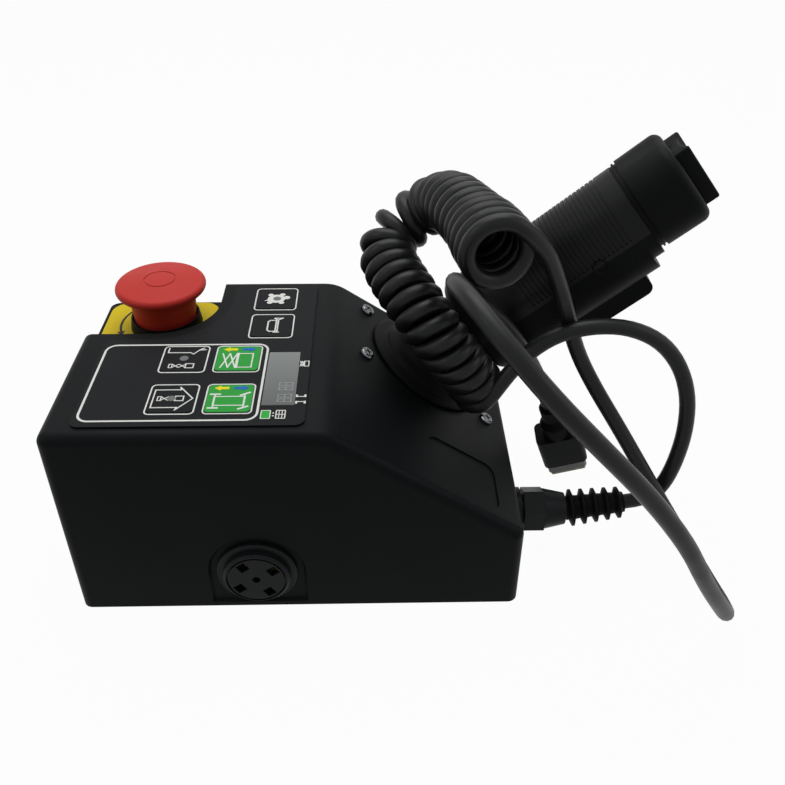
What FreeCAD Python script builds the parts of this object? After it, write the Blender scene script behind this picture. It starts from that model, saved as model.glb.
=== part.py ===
import FreeCAD, Part
import math
import os
import re
import Sketcher

Vector = FreeCAD.Vector
Rotation = FreeCAD.Rotation
Placement = FreeCAD.Placement

doc = FreeCAD.newDocument("scissor_lift_control_box")
sheet = doc.addObject("Spreadsheet::Sheet", "dims")

# Driving dimensions in millimetres and degrees.
# Places on the case count from its left end and its near side.
DIMENSIONS = {
    "case_length": 193.0,
    "case_width": 122.0,
    "case_height": 96.0,
    "end_height": 41.0,
    "slope_run": 81.4,
    "case_wall": 4.0,
    "edge_radius": 4.5,
    "ridge_radius": 18.0,
    "fit_gap": 0.3,
    "running_gap": 0.05,
    # base plate, its seal and its screws
    "base_rim": 2.0,
    "base_thickness": 3.0,
    "gasket_thickness": 1.0,
    "post_radius": 4.5,
    "post_height": 25.0,
    "post_inset": 3.5,
    "screw_radius": 1.7,
    "base_screw_length": 14.0,
    "board_screw_length": 9.0,
    "mount_screw_length": 12.0,
    "screw_head_radius": 3.4,
    "screw_head_height": 2.0,
    "head_sink": 0.2,
    # corner shelf and emergency stop
    "estop_x": 31.0,
    "estop_from_far": 21.0,
    "shelf_drop": 12.0,
    "shelf_radius": 27.0,
    "plate_margin": 2.0,
    "plate_reach_right": 23.0,
    "plate_reach_near": 24.0,
    "plate_thickness": 1.0,
    "plate_corner": 8.0,
    "plate_inner_corner": 18.0,
    "estop_thread_radius": 11.0,
    "estop_thread_length": 30.0,
    "cup_radius": 18.2,
    "cup_top_radius": 16.8,
    "cup_height": 8.0,
    "cup_floor": 1.2,
    "cup_gap": 0.8,
    "cap_radius": 20.8,
    "cap_rise": 2.6,
    "cap_rim": 4.4,
    "cap_ring_radius": 7.1,
    "cap_ring_groove": 0.6,
    "cap_ring_depth": 0.35,
    "rim_height": 21.5,
    "cap_thickness": 6.0,
    "neck_round": 5.0,
    "skirt_top_radius": 15.2,
    "skirt_radius": 14.4,
    "skirt_wall": 2.2,
    "skirt_length": 12.0,
    "plunger_radius": 6.0,
    "plunger_seat": 2.0,
    "plunger_tail": 2.0,
    "stop_travel": 4.0,
    "lock_nut_radius": 16.0,
    "lock_nut_height": 5.0,
    "block_length": 34.0,
    "block_width": 29.0,
    "block_height": 28.0,
    "block_bore_spare": 4.0,
    # keypad
    "overlay_thickness": 0.8,
    "overlay_left": 12.0,
    "overlay_near": 6.0,
    "overlay_from_ridge": 8.6,
    "overlay_from_far": 5.0,
    "overlay_corner": 4.0,
    "overlay_margin": 6.0,
    "key_size": 18.2,
    "key_gap": 0.2,
    "key_corner": 2.0,
    "key_proud": 0.2,
    "key_depth": 2.4,
    "key_travel": 0.6,
    "key_nub_radius": 1.5,
    "site_from_ridge": 62.4,
    "work_from_ridge": 39.6,
    "call_offset": 2.8,
    "near_row_extra": 6.4,
    "far_row_extra": 2.3,
    "row_taper": 2.3,
    "window_from_ridge": 19.9,
    "window_width": 13.3,
    "window_length": 38.0,
    "window_depth": 1.6,
    # control board under the panel
    "board_drop": 9.0,
    "board_thickness": 1.6,
    "board_near": 10.0,
    "board_from_far": 10.0,
    "board_edge": 1.0,
    "board_clear_x": 3.0,
    "board_clear_y": 6.0,
    "board_post_radius": 3.0,
    "board_post_gap": 0.7,
    "switch_size": 6.0,
    "switch_height": 5.0,
    "switch_floor": 1.0,
    "header_length": 24.0,
    "header_width": 8.0,
    "header_height": 7.0,
    # sounder in the near wall
    "sounder_x": 79.0,
    "sounder_z": 21.0,
    "recess_radius": 20.0,
    "recess_depth": 1.2,
    "recess_foot": 3.4,
    "recess_draft": 40.0,
    "sounder_tube_radius": 13.9,
    "sounder_tube_length": 24.0,
    "sounder_flange_radius": 17.2,
    "sounder_flange_height": 2.5,
    "sounder_flange_chamfer": 0.8,
    "sounder_face_radius": 14.3,
    "sounder_face_height": 3.0,
    "sounder_face_chamfer": 1.0,
    "face_groove_radius": 12.1,
    "face_groove": 0.8,
    "face_groove_depth": 1.0,
    "sounder_bore_radius": 11.5,
    "sounder_lip": 2.0,
    "sounder_seat_depth": 8.0,
    "sounder_slot": 4.4,
    "sounder_slot_offset": 9.0,
    "sounder_slot_turn": 35.0,
    "sounder_nut_radius": 16.8,
    "sounder_nut_height": 5.0,
    "piezo_thickness": 1.5,
    # cable gland in the right-hand end
    "gland_y": 38.5,
    "gland_z": 20.0,
    "gland_thread_radius": 7.9,
    "gland_thread_length": 12.0,
    "gland_collar_radius": 10.2,
    "gland_collar_height": 4.0,
    "gland_neck_radius": 7.0,
    "gland_nut_start": 5.5,
    "gland_nut_hex": 10.6,
    "gland_nut_end": 25.0,
    "gland_nut_shoulder": 15.0,
    "gland_mouth_radius": 7.4,
    "gland_locknut_extra": 1.0,
    "flex_length": 27.0,
    "flex_lift": 8.0,
    "flex_root_radius": 5.6,
    "flex_tip_radius": 4.7,
    "fin_root_radius": 8.6,
    "fin_tip_radius": 7.0,
    "fin_count": 5.0,
    "cord_diameter": 7.0,
    "coil_diameter": 26.0,
    "flex_run": 11.0,
    "plug_run": 17.0,
    # connector on the cord's far end
    "backshell_length": 20.0,
    "backshell_radius": 7.0,
    "backshell_lip": 1.5,
    "connector_length": 21.0,
    "connector_width": 22.0,
    "connector_depth": 14.0,
    "connector_corner": 3.0,
    "shell_length": 6.0,
    "shell_inset": 1.2,
    "insert_length": 3.0,
    "insert_inset": 1.0,
    # joystick on the slope
    "stick_s": 52.0,
    "stick_from_far": 32.0,
    "slope_hole_radius": 25.0,
    "carrier_length": 78.0,
    "carrier_width": 48.0,
    "carrier_thickness": 4.0,
    "mount_screw_s": 34.0,
    "mount_screw_y": 19.0,
    "lug_thickness": 4.0,
    "lug_height": 15.0,
    "lug_width": 20.0,
    "pivot_depth": 16.0,
    "pivot_radius": 3.0,
    "hub_radius": 8.0,
    "hub_length": 19.0,
    "shaft_radius": 5.0,
    "knee_height": 24.0,
    "stick_lean": 16.5,
    "shaft_socket": 30.0,
    "boot_flange_radius": 31.0,
    "boot_flange_height": 2.2,
    "boot_radius": 26.0,
    "boot_height": 23.5,
    "boot_neck_radius": 8.0,
    "boot_wall": 1.6,
    "boot_folds": 4.0,
    "boot_crest": 3.0,
    "boot_root": 3.5,
    "boot_collar": 2.0,
    # shallow label field on the slope
    "label_s": 68.0,
    "label_y": 22.0,
    "label_length": 36.0,
    "label_width": 28.0,
    "label_corner": 5.0,
    "label_depth": 0.6,
    # handle, measured along its own axis from the knee of the shaft
    "grip_start": 8.0,
    "grip_end": 97.0,
    "grip_half_width": 19.5,
    "palm_depth": 20.5,
    "grip_round": 3.0,
    "split_x": 4.0,
    "front_depth": 27.0,
    "front_end": 92.0,
    "front_round": 15.0,
    "front_neck_round": 12.0,
    "rib_start": 40.0,
    "rib_pitch": 2.1,
    "rib_count": 24.0,
    "rib_groove": 0.8,
    "rib_depth": 0.5,
    "rib_edge": 2.0,
    "ring_height": 3.0,
    "ring_inset": 1.2,
    "ring_rib": 0.8,
    "ring_rib_inset": 0.4,
    "head_size": 40.0,
    "head_corner": 16.0,
    "head_height": 21.0,
    "head_round": 4.0,
    "rocker_length": 18.0,
    "rocker_width": 28.0,
    "rocker_clear": 1.2,
    "rocker_drop": 2.0,
    "rocker_round": 4.0,
    "wing_height": 8.5,
    "wing_thickness": 8.0,
    "wing_flat": 1.5,
    "rocker_dish": 2.5,
    "small_pin_radius": 1.5,
    "pin_seat": 2.0,
    "trigger_width": 18.0,
    "trigger_start": 40.0,
    "trigger_end": 84.5,
    "trigger_gap": 1.0,
    "trigger_inner": 24.0,
    "trigger_outer": 36.0,
    "trigger_heel": 5.0,
    "trigger_lean": 2.0,
    "trigger_curl": 14.0,
    "trigger_sweep": 24.0,
    "trigger_tip": 4.0,
    "trigger_slot_depth": 12.0,
    "trigger_pin_rise": 5.0,
    "trigger_pin_offset": 1.0,
    "micro_length": 12.0,
    "micro_height": 3.5,
    "micro_width": 6.0,
    "micro_rise": 24.0,
}

for row, (alias, size) in enumerate(DIMENSIONS.items(), start=1):
    sheet.set(f"A{row}", alias)
    sheet.set(f"B{row}", str(size))
    sheet.setAlias(f"B{row}", alias)
doc.recompute()


def size(alias):
    """A driving dimension, read from the sheet."""
    return float(sheet.get(alias))


def formula(text):
    """The same text with each dimension's name pointing into the sheet."""
    def into_sheet(word):
        return "dims." + word[0] if word[0] in DIMENSIONS else word[0]

    return re.sub(r"[a-z_]+[a-z0-9_]*", into_sheet, text)


def number(text):
    """What a formula comes to, in millimetres or degrees."""
    return float(sheet.evalExpression(formula(text)))


def bind(thing, **sizes):
    for name, text in sizes.items():
        thing.setExpression(name, formula(text))
    return thing


# Frames

LEFT = -size("case_length") / 2
NEAR = -size("case_width") / 2
SLOPE_RISE = size("case_height") - size("end_height")
SLOPE_ANGLE = math.degrees(math.atan2(SLOPE_RISE, size("slope_run")))
Y_AXIS = Vector(0, 1, 0)
X_AXIS = Vector(1, 0, 0)


def on_case(x, y, z, rotation=None):
    """A place counted from the left end, the near side and the bottom of the case."""
    return Placement(Vector(LEFT + x, NEAR + y, z), rotation or Rotation())


RIDGE = "(case_length - slope_run)"
RIDGE_X = number(RIDGE)
TILTED = Rotation(Y_AXIS, SLOPE_ANGLE)
ridge = on_case(RIDGE_X, number("case_width - stick_from_far"), size("case_height"), TILTED)
slope_frame = ridge * Placement(Vector(size("stick_s"), 0, 0), Rotation())
knee = Placement(Vector(0, 0, size("knee_height")), Rotation(Y_AXIS, size("stick_lean")))
handle_frame = slope_frame * knee


# Building blocks

def primitive(kind, name, frame=None, **sizes):
    solid = bind(doc.addObject("Part::" + kind, name), **sizes)
    solid.Placement = frame or Placement()
    return solid


def origin_plane(body, role):
    return [plane for plane in body.Origin.OriginFeatures if plane.Role == role][0]


def arc_between(start, end, radius, side):
    """The short arc from start to end whose centre lies on the named side of the way."""
    chord = end - start
    sign = 1 if side == "left" else -1
    across = Vector(-chord.y, chord.x, 0) * (sign / chord.Length)
    rise = math.sqrt(max(radius ** 2 - (chord.Length / 2) ** 2, 0))
    centre = (start + end) / 2 + across * rise
    first, last = (start, end) if side == "left" else (end, start)
    angles = [math.atan2(point.y - centre.y, point.x - centre.x) for point in (first, last)]
    circle = Part.Circle(centre, Vector(0, 0, 1), radius)
    return Part.ArcOfCircle(circle, angles[0], angles[1])


def pin_point(sketch, geometry, end, axis, text):
    """Hold one coordinate of a sketch point at a formula's value."""
    if text == "0":
        line = -2 if axis == "X" else -1
        sketch.addConstraint(Sketcher.Constraint("PointOnObject", geometry, end, line))
        return
    rule = Sketcher.Constraint("Distance" + axis, -1, 1, geometry, end, number(text))
    sketch.setExpression(f"Constraints[{sketch.addConstraint(rule)}]", formula(text))


def draw(sketch, outline):
    """A closed outline of lines and arcs.

    Each corner is two formulas. A corner with two more, a radius and a side,
    is reached from the corner before it along an arc.
    """
    corners = [Vector(number(corner[0]), number(corner[1]), 0) for corner in outline]
    ends = []
    first = len(sketch.Geometry)
    for index, corner in enumerate(outline):
        start = corners[index - 1]
        end = corners[index]
        if len(corner) == 4:
            sketch.addGeometry(arc_between(start, end, number(corner[2]), corner[3]), False)
            ends.append((1, 2) if corner[3] == "left" else (2, 1))
        else:
            sketch.addGeometry(Part.LineSegment(start, end), False)
            ends.append((1, 2))
    for index, corner in enumerate(outline):
        following = (index + 1) % len(outline)
        here = first + index
        there = first + following
        meeting = (here, ends[index][1], there, ends[following][0])
        sketch.addConstraint(Sketcher.Constraint("Coincident", *meeting))
        pin_point(sketch, here, ends[index][1], "X", corner[0])
        pin_point(sketch, here, ends[index][1], "Y", corner[1])
        if len(corner) == 4:
            rule = Sketcher.Constraint("Radius", here, number(corner[2]))
            sketch.setExpression(f"Constraints[{sketch.addConstraint(rule)}]", formula(corner[2]))


def sketch_on(body, role, *outlines):
    sketch = body.newObject("Sketcher::SketchObject", body.Name + "_outline")
    sketch.AttachmentSupport = [(origin_plane(body, role), "")]
    sketch.MapMode = "FlatFace"
    for outline in outlines:
        draw(sketch, outline)
    return sketch


def turned(name, frame, profile):
    """A piece turned about its own Z axis from a profile of radius and height."""
    body = doc.addObject("PartDesign::Body", name)
    sketch = sketch_on(body, "XZ_Plane", profile)
    turn = body.newObject("PartDesign::Revolution", name + "_turn")
    turn.Profile = sketch
    turn.ReferenceAxis = (sketch, ["V_Axis"])
    turn.Angle = 360
    body.Placement = frame
    return body


def padded(name, frame, outlines, length, role="XY_Plane", both_ways=False, draft=None):
    """A piece padded from one outline, with any further outlines left open through it."""
    body = doc.addObject("PartDesign::Body", name)
    pad = body.newObject("PartDesign::Pad", name + "_pad")
    pad.Profile = sketch_on(body, role, *outlines)
    if both_ways:
        pad.SideType = "Symmetric"
    bind(pad, Length=length)
    if draft:
        bind(pad, TaperAngle=draft)
    body.Placement = frame
    return body


def rounded(body, base, radius, wanted):
    """Round the edges of a body's last feature that the test picks."""
    doc.recompute()
    edges = enumerate(base.Shape.Edges, start=1)
    fillet = body.newObject("PartDesign::Fillet", body.Name + "_round")
    fillet.Base = (base, [f"Edge{place}" for place, edge in edges if wanted(edge.BoundBox)])
    bind(fillet, Radius=radius)
    return fillet


def rectangle(width, length, corner, x="0", y="0"):
    """A rectangle with round corners about a centre."""
    left, right = f"{x} - ({width})/2", f"{x} + ({width})/2"
    low, high = f"{y} - ({length})/2", f"{y} + ({length})/2"
    corner = f"({corner})"
    return [
        (f"{right} - {corner}", low),
        (right, f"{low} + {corner}", corner, "left"),
        (right, f"{high} - {corner}"),
        (f"{right} - {corner}", high, corner, "left"),
        (f"{left} + {corner}", high),
        (left, f"{high} - {corner}", corner, "left"),
        (left, f"{low} + {corner}"),
        (f"{left} + {corner}", low, corner, "left"),
    ]


def joined(name, pieces):
    fuse = doc.addObject("Part::MultiFuse", name)
    fuse.Shapes = pieces
    return fuse


def cut(name, base, tools):
    cutter = tools[0] if len(tools) == 1 else joined(name + "_cutter", tools)
    result = doc.addObject("Part::Cut", name)
    result.Base = base
    result.Tool = cutter
    return result


def group(name, pieces):
    """Like fasteners, kept as separate solids in one node."""
    compound = doc.addObject("Part::Compound", name)
    compound.Links = pieces
    return compound


nodes = []


def node(name, thing):
    thing.Label = name
    nodes.append(thing)
    return thing


# Moulded case

TOP = size("case_height")
SHELF = TOP - size("shelf_drop")
TAN_SLOPE = "((case_height - end_height)/slope_run)"
SEC_SLOPE = f"sqrt(1 + {TAN_SLOPE}^2)"
ESTOP_Y = "(case_width - estop_from_far)"
SHELF_REACH_X = "(estop_x + shelf_radius + case_wall)"
SHELF_REACH_Y = f"({ESTOP_Y} - shelf_radius - case_wall)"


def on_stop(z):
    return on_case(size("estop_x"), number(ESTOP_Y), z)


def shelf_outline(radius):
    """The corner shelf about the stop's axis, open to the left and far sides."""
    left = "-estop_x - case_wall"
    far = "estop_from_far + case_wall"
    return [
        (left, f"-({radius})"),
        ("0", f"-({radius})"),
        (radius, "0", radius, "left"),
        (radius, far),
        (left, far),
    ]


def case_shell():
    side = [
        ("-case_length/2", "0"),
        ("case_length/2", "0"),
        ("case_length/2", "end_height"),
        ("case_length/2 - slope_run", "case_height"),
        ("-case_length/2", "case_height"),
    ]
    outer = padded("case_outer", Placement(), [side], "case_width", "XZ_Plane", both_ways=True)

    def ridge_edge(box):
        across = box.YLength > size("case_width") - 1
        return across and abs(box.XMin - LEFT - RIDGE_X) < 0.01 and box.ZMin > TOP - 0.01

    crest = rounded(outer, outer.Tip, "ridge_radius", ridge_edge)

    def outer_edge(box):
        along_crest = box.YLength > size("case_width") - 1 and abs(box.Center.x) < -LEFT - 1
        return box.ZMax > 0.01 and not along_crest

    rounded(outer, crest, "edge_radius", outer_edge)
    inside = "case_length/2 - case_wall"
    ceiling = "case_height - case_wall"
    room = [
        (f"-({inside})", "-case_wall"),
        (inside, "-case_wall"),
        (inside, f"end_height + case_wall*{TAN_SLOPE} - case_wall*{SEC_SLOPE}"),
        (f"case_length/2 - slope_run + case_wall*(1 - {SEC_SLOPE})/{TAN_SLOPE}", ceiling),
        (f"-({inside})", ceiling),
    ]
    cavity = padded("case_room", Placement(), [room], "case_width - 2*case_wall", "XZ_Plane", both_ways=True)
    tub = padded("shelf_tub", on_stop(SHELF - size("case_wall")),
                 [shelf_outline("shelf_radius + case_wall")], "shelf_drop + case_wall")
    shelf = padded("shelf_cut", on_stop(SHELF), [shelf_outline("shelf_radius")], "shelf_drop + case_wall")
    hollow = cut("case_hollow", cavity, [tub])
    return cut("case_shell", outer, [hollow, shelf])


def corner_posts():
    """The places of the four base screws, just inside the case's corners."""
    inset = size("case_wall") + size("post_inset")
    for x in (inset, size("case_length") - inset):
        for y in (inset, size("case_width") - inset):
            yield x, y


# Keys stand in rows with like gaps between the near and far sides. The first
# gap is wider and the last narrower by the taper.
ROW_GAP = "((case_width - 4*key_size - near_row_extra - far_row_extra)/5)"
FIRST_ROW = f"({ROW_GAP} + near_row_extra + key_size/2)"
SECOND_ROW = f"({FIRST_ROW} + key_size + {ROW_GAP} + row_taper)"
HORN_ROW = f"({SECOND_ROW} + key_size + {ROW_GAP})"
SLOW_ROW = f"({HORN_ROW} + key_size + {ROW_GAP} - row_taper)"
SITE_COLUMN = f"({RIDGE} - site_from_ridge)"
WORK_COLUMN = f"({RIDGE} - work_from_ridge)"
CALL_COLUMN = f"(({SHELF_REACH_X} + {RIDGE})/2 - call_offset)"
WINDOW_X = f"({RIDGE} - window_from_ridge)"
WINDOW_Y = f"(({FIRST_ROW} + {SECOND_ROW})/2)"
KEYS = {
    "key_indoor": (SITE_COLUMN, FIRST_ROW),
    "key_outdoor": (SITE_COLUMN, SECOND_ROW),
    "key_drive": (WORK_COLUMN, FIRST_ROW),
    "key_lift": (WORK_COLUMN, SECOND_ROW),
    "key_horn": (CALL_COLUMN, HORN_ROW),
    "key_slow": (CALL_COLUMN, SLOW_ROW),
}
BESIDE_KEY = "(key_size/2 + key_gap + board_post_gap + board_post_radius)"
BOARD_POSTS = [(number(x), number(y)) for x, y in [
    (f"{SITE_COLUMN} - {BESIDE_KEY}", FIRST_ROW),
    (f"({SITE_COLUMN} + {WORK_COLUMN})/2", WINDOW_Y),
    (WINDOW_X, f"({WINDOW_Y} + window_length/2 + {HORN_ROW} - key_size/2)/2"),
    (f"{CALL_COLUMN} + {BESIDE_KEY}", SLOW_ROW),
]]
BOARD_TOP = TOP - size("case_wall") - size("board_drop")
MOUNT_SCREWS = [(s, y) for s in (-size("mount_screw_s"), size("mount_screw_s"))
                for y in (-size("mount_screw_y"), size("mount_screw_y"))]
TO_NEAR = Rotation(X_AXIS, 90)
TO_RIGHT = Rotation(Y_AXIS, 90)
sounder_frame = on_case(size("sounder_x"), size("recess_depth"), size("sounder_z"), TO_NEAR)
gland_frame = on_case(size("case_length"), size("gland_y"), size("gland_z"), TO_RIGHT)


def case_holes():
    """Everything that is cut through the moulded walls."""
    tools = []
    rebate = primitive("Box", "base_rebate", on_case(size("base_rim"), size("base_rim"), 0),
                       Length="case_length - 2*base_rim", Width="case_width - 2*base_rim",
                       Height="base_thickness + gasket_thickness")
    for x, y in corner_posts():
        tools.append(primitive("Cylinder", "post_pilot", on_case(x, y, 0),
                               Radius="screw_radius + running_gap",
                               Height="base_thickness + base_screw_length + screw_radius"))
    for x, y in BOARD_POSTS:
        tools.append(primitive("Cylinder", "board_pilot", on_case(x, y, 0),
                               Radius="screw_radius + running_gap", Height="case_height - case_wall"))
    under_top = TOP - 2 * size("case_wall")
    opening = "key_size + 2*key_gap"
    for name, (x, y) in KEYS.items():
        tools.append(padded(name + "_opening", on_case(number(x), number(y), under_top),
                            [rectangle(opening, opening, "key_corner")], "3*case_wall"))
    tools.append(padded("window_opening", on_case(number(WINDOW_X), number(WINDOW_Y), under_top),
                        [rectangle("window_width + 2*key_gap", "window_length + 2*key_gap", "key_gap")],
                        "3*case_wall"))
    tools.append(primitive("Cylinder", "estop_hole", on_stop(SHELF - 2 * size("case_wall")),
                           Radius="estop_thread_radius + fit_gap", Height="3*case_wall"))
    arch = [
        ("-recess_radius", "recess_foot - sounder_z"),
        ("recess_radius", "recess_foot - sounder_z"),
        ("recess_radius", "0"),
        ("0", "recess_radius", "recess_radius", "left"),
        ("-recess_radius", "0", "recess_radius", "left"),
    ]
    below = Placement(Vector(0, 0, -2 * size("case_wall")), Rotation())
    tools.append(padded("sounder_recess", sounder_frame, [arch], "2*recess_depth", draft="recess_draft"))
    tools.append(primitive("Cylinder", "sounder_hole", sounder_frame * below,
                           Radius="sounder_tube_radius + fit_gap", Height="3*case_wall"))
    tools.append(primitive("Cylinder", "gland_hole", gland_frame * below,
                           Radius="gland_thread_radius + fit_gap", Height="3*case_wall"))
    tools.append(primitive("Cylinder", "stick_hole", slope_frame * below, Radius="slope_hole_radius",
                           Height="4*case_wall"))
    label = on_case(RIDGE_X, size("label_y"), TOP, TILTED)
    label_floor = Placement(Vector(size("label_s"), 0, -size("label_depth")), Rotation())
    tools.append(padded("label_field", label * label_floor,
                        [rectangle("label_length", "label_width", "label_corner")], "2*label_depth"))
    for s, y in MOUNT_SCREWS:
        tools.append(primitive("Cylinder", "mount_hole",
                               slope_frame * Placement(Vector(s, y, 0), Rotation()) * below,
                               Radius="screw_radius + running_gap", Height="4*case_wall"))
    return [rebate] + tools


def case():
    posts = []
    for x, y in corner_posts():
        foot = on_case(x, y, size("base_thickness") + size("gasket_thickness"))
        posts.append(primitive("Cylinder", "corner_post", foot, Radius="post_radius", Height="post_height"))
    for x, y in BOARD_POSTS:
        posts.append(primitive("Cylinder", "board_post", on_case(x, y, BOARD_TOP),
                               Radius="board_post_radius", Height="board_drop + case_wall/2"))
    holes = case_holes()
    hollowed = cut("case_rebated", case_shell(), holes[:1])
    return cut("case_body", joined("case_posted", [hollowed] + posts), holes[1:])


node("case", case())


# Base plate, seal and screws

def screw(name, frame, length):
    """A pan head screw, its head's seat at the frame's origin and its shank towards +Z."""
    return turned(name, frame, [
        ("0", "-screw_head_height"),
        ("screw_head_radius*0.7", "-screw_head_height"),
        ("screw_head_radius", "-screw_head_height*0.45"),
        ("screw_head_radius", "0"),
        ("screw_radius", "0"),
        ("screw_radius", f"{length} - screw_radius"),
        ("0", length),
    ])


PLATE_LENGTH = "case_length - 2*base_rim - 2*fit_gap"
PLATE_WIDTH = "case_width - 2*base_rim - 2*fit_gap"


def base_plate():
    outline = rectangle(PLATE_LENGTH, PLATE_WIDTH, "base_rim")
    slab = padded("base_slab", Placement(), [outline], "base_thickness")
    holes = []
    for x, y in corner_posts():
        holes.append(primitive("Cylinder", "base_hole", on_case(x, y, 0), Radius="screw_radius + running_gap",
                               Height="2*base_thickness"))
        holes.append(primitive("Cylinder", "base_sink", on_case(x, y, 0),
                               Radius="screw_head_radius + fit_gap", Height="screw_head_height + head_sink"))
    return cut("base_plate_body", slab, holes)


node("base_plate", base_plate())
node("base_gasket", padded("base_gasket_body", Placement(Vector(0, 0, size("base_thickness")), Rotation()), [
    rectangle(PLATE_LENGTH, PLATE_WIDTH, "base_rim"),
    rectangle("case_length - 2*case_wall", "case_width - 2*case_wall", "base_rim"),
], "gasket_thickness"))
node("base_screws", group("base_screw_set", [
    screw("base_screw", on_case(x, y, size("screw_head_height") + size("head_sink")), "base_screw_length")
    for x, y in corner_posts()]))


# Emergency stop on the corner shelf

def estop_legend():
    """A plate about the stop's axis, its inner corner rounder to clear the shelf's wall."""
    left, right = "plate_margin - estop_x", "plate_reach_right"
    low, high = "-plate_reach_near", "estop_from_far - plate_margin"
    outline = [
        (f"{right} - plate_inner_corner", low),
        (right, f"{low} + plate_inner_corner", "plate_inner_corner", "left"),
        (right, f"{high} - plate_corner"),
        (f"{right} - plate_corner", high, "plate_corner", "left"),
        (f"{left} + plate_corner", high),
        (left, f"{high} - plate_corner", "plate_corner", "left"),
        (left, f"{low} + plate_corner"),
        (f"{left} + plate_corner", low, "plate_corner", "left"),
    ]
    slab = padded("legend_slab", on_stop(SHELF), [outline], "plate_thickness")
    hole = primitive("Cylinder", "legend_hole", on_stop(SHELF), Radius="estop_thread_radius + fit_gap",
                     Height="2*plate_thickness")
    return cut("legend_body", slab, [hole])


SEAT = SHELF + size("plate_thickness")
BORE = "plunger_radius + running_gap"
node("estop_legend_plate", estop_legend())
CUP_BORE = "skirt_radius + cup_gap"
node("estop_body", turned("estop_body_piece", on_stop(SEAT), [
    (BORE, "-estop_thread_length"),
    ("estop_thread_radius", "-estop_thread_length"),
    ("estop_thread_radius", "0"),
    ("cup_radius", "0"),
    ("cup_top_radius", "cup_height"),
    (CUP_BORE, "cup_height"),
    (CUP_BORE, "cup_floor"),
    (BORE, "cup_floor"),
]))
NUT_SEAT_Z = SHELF - size("case_wall") - size("lock_nut_height")
node("estop_lock_nut", cut("lock_nut_body", primitive(
    "Prism", "lock_nut_hex", on_stop(NUT_SEAT_Z), Circumradius="lock_nut_radius", Height="lock_nut_height"),
    [primitive("Cylinder", "lock_nut_bore", on_stop(NUT_SEAT_Z), Radius="estop_thread_radius + running_gap",
               Height="2*lock_nut_height")]))
PLUNGER_TOP = "rim_height - plunger_seat"
PLUNGER_END = "-estop_thread_length - stop_travel - plunger_tail"
node("estop_plunger", turned("plunger_body", on_stop(SEAT), [
    ("0", PLUNGER_END),
    ("plunger_radius", PLUNGER_END),
    ("plunger_radius", PLUNGER_TOP),
    ("0", PLUNGER_TOP),
]))


def mushroom_profile():
    """A flat dome with a ring groove, a round rim and a neck that sweeps down into the skirt."""
    edge = "(cap_radius - cap_rim/2)"
    rise = "(cap_rise - cap_rim/4)"
    dome = f"(({edge}^2 + {rise}^2)/(2*{rise}))"
    neck = "rim_height - cap_thickness"
    bottom = "rim_height - cap_thickness/2 - skirt_length"
    bore = "skirt_radius - skirt_wall"

    def on_dome(radius):
        return f"rim_height + cap_rise - {dome} + sqrt({dome}^2 - ({radius})^2)"

    groove_in = "cap_ring_radius - cap_ring_groove/2"
    groove_out = "cap_ring_radius + cap_ring_groove/2"
    return [
        ("0", "rim_height + cap_rise"),
        (groove_in, on_dome(groove_in), dome, "right"),
        (groove_in, on_dome(groove_in) + " - cap_ring_depth"),
        (groove_out, on_dome(groove_in) + " - cap_ring_depth"),
        (groove_out, on_dome(groove_out)),
        (edge, "rim_height + cap_rim/4", dome, "right"),
        ("cap_radius", "rim_height - cap_rim*0.25", "cap_rim/2", "right"),
        (edge, "rim_height - cap_rim*0.75", "cap_rim/2", "right"),
        ("skirt_top_radius", neck, "neck_round", "left"),
        ("skirt_radius", bottom),
        (bore, bottom),
        (bore, neck),
        (BORE, neck),
        (BORE, PLUNGER_TOP),
        ("0", PLUNGER_TOP),
    ]


node("estop_mushroom", turned("mushroom_body", on_stop(SEAT), mushroom_profile()))


def contact_block():
    top = SEAT - size("estop_thread_length")
    corner = on_case(size("estop_x") - size("block_length") / 2, number(ESTOP_Y) - size("block_width") / 2,
                     top - size("block_height"))
    block = primitive("Box", "contact_box", corner, Length="block_length", Width="block_width",
                      Height="block_height")
    depth = "stop_travel + plunger_tail + stop_travel + block_bore_spare"
    bore = primitive("Cylinder", "contact_bore", on_stop(top - number(depth)),
                     Radius="plunger_radius + fit_gap", Height=f"2*({depth})")
    return cut("contact_body", block, [bore])


node("estop_contact_block", contact_block())


# Keypad

def overlay():
    clear = "shelf_radius + overlay_margin"
    right = f"{RIDGE} - overlay_from_ridge"
    far = "case_width - overlay_from_far"
    inner_x = f"estop_x + {clear}"
    inner_y = f"{ESTOP_Y} - ({clear})"
    outline = [
        (f"{right} - overlay_corner", "overlay_near"),
        (right, "overlay_near + overlay_corner", "overlay_corner", "left"),
        (right, f"{far} - overlay_corner"),
        (f"{right} - overlay_corner", far, "overlay_corner", "left"),
        (f"{inner_x} + overlay_corner", far),
        (inner_x, f"{far} - overlay_corner", "overlay_corner", "left"),
        (inner_x, ESTOP_Y),
        ("estop_x", inner_y, clear, "right"),
        ("overlay_left + overlay_corner", inner_y),
        ("overlay_left", f"{inner_y} - overlay_corner", "overlay_corner", "left"),
        ("overlay_left", "overlay_near + overlay_corner"),
        ("overlay_left + overlay_corner", "overlay_near", "overlay_corner", "left"),
    ]
    opening = "key_size + 2*key_gap"
    windows = [rectangle(opening, opening, "key_corner", x, y) for x, y in KEYS.values()]
    windows.append(rectangle("window_width + 2*key_gap", "window_length + 2*key_gap", "key_gap",
                             WINDOW_X, WINDOW_Y))
    return padded("overlay_body", on_case(0, 0, TOP), [outline] + windows, "overlay_thickness")


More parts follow.
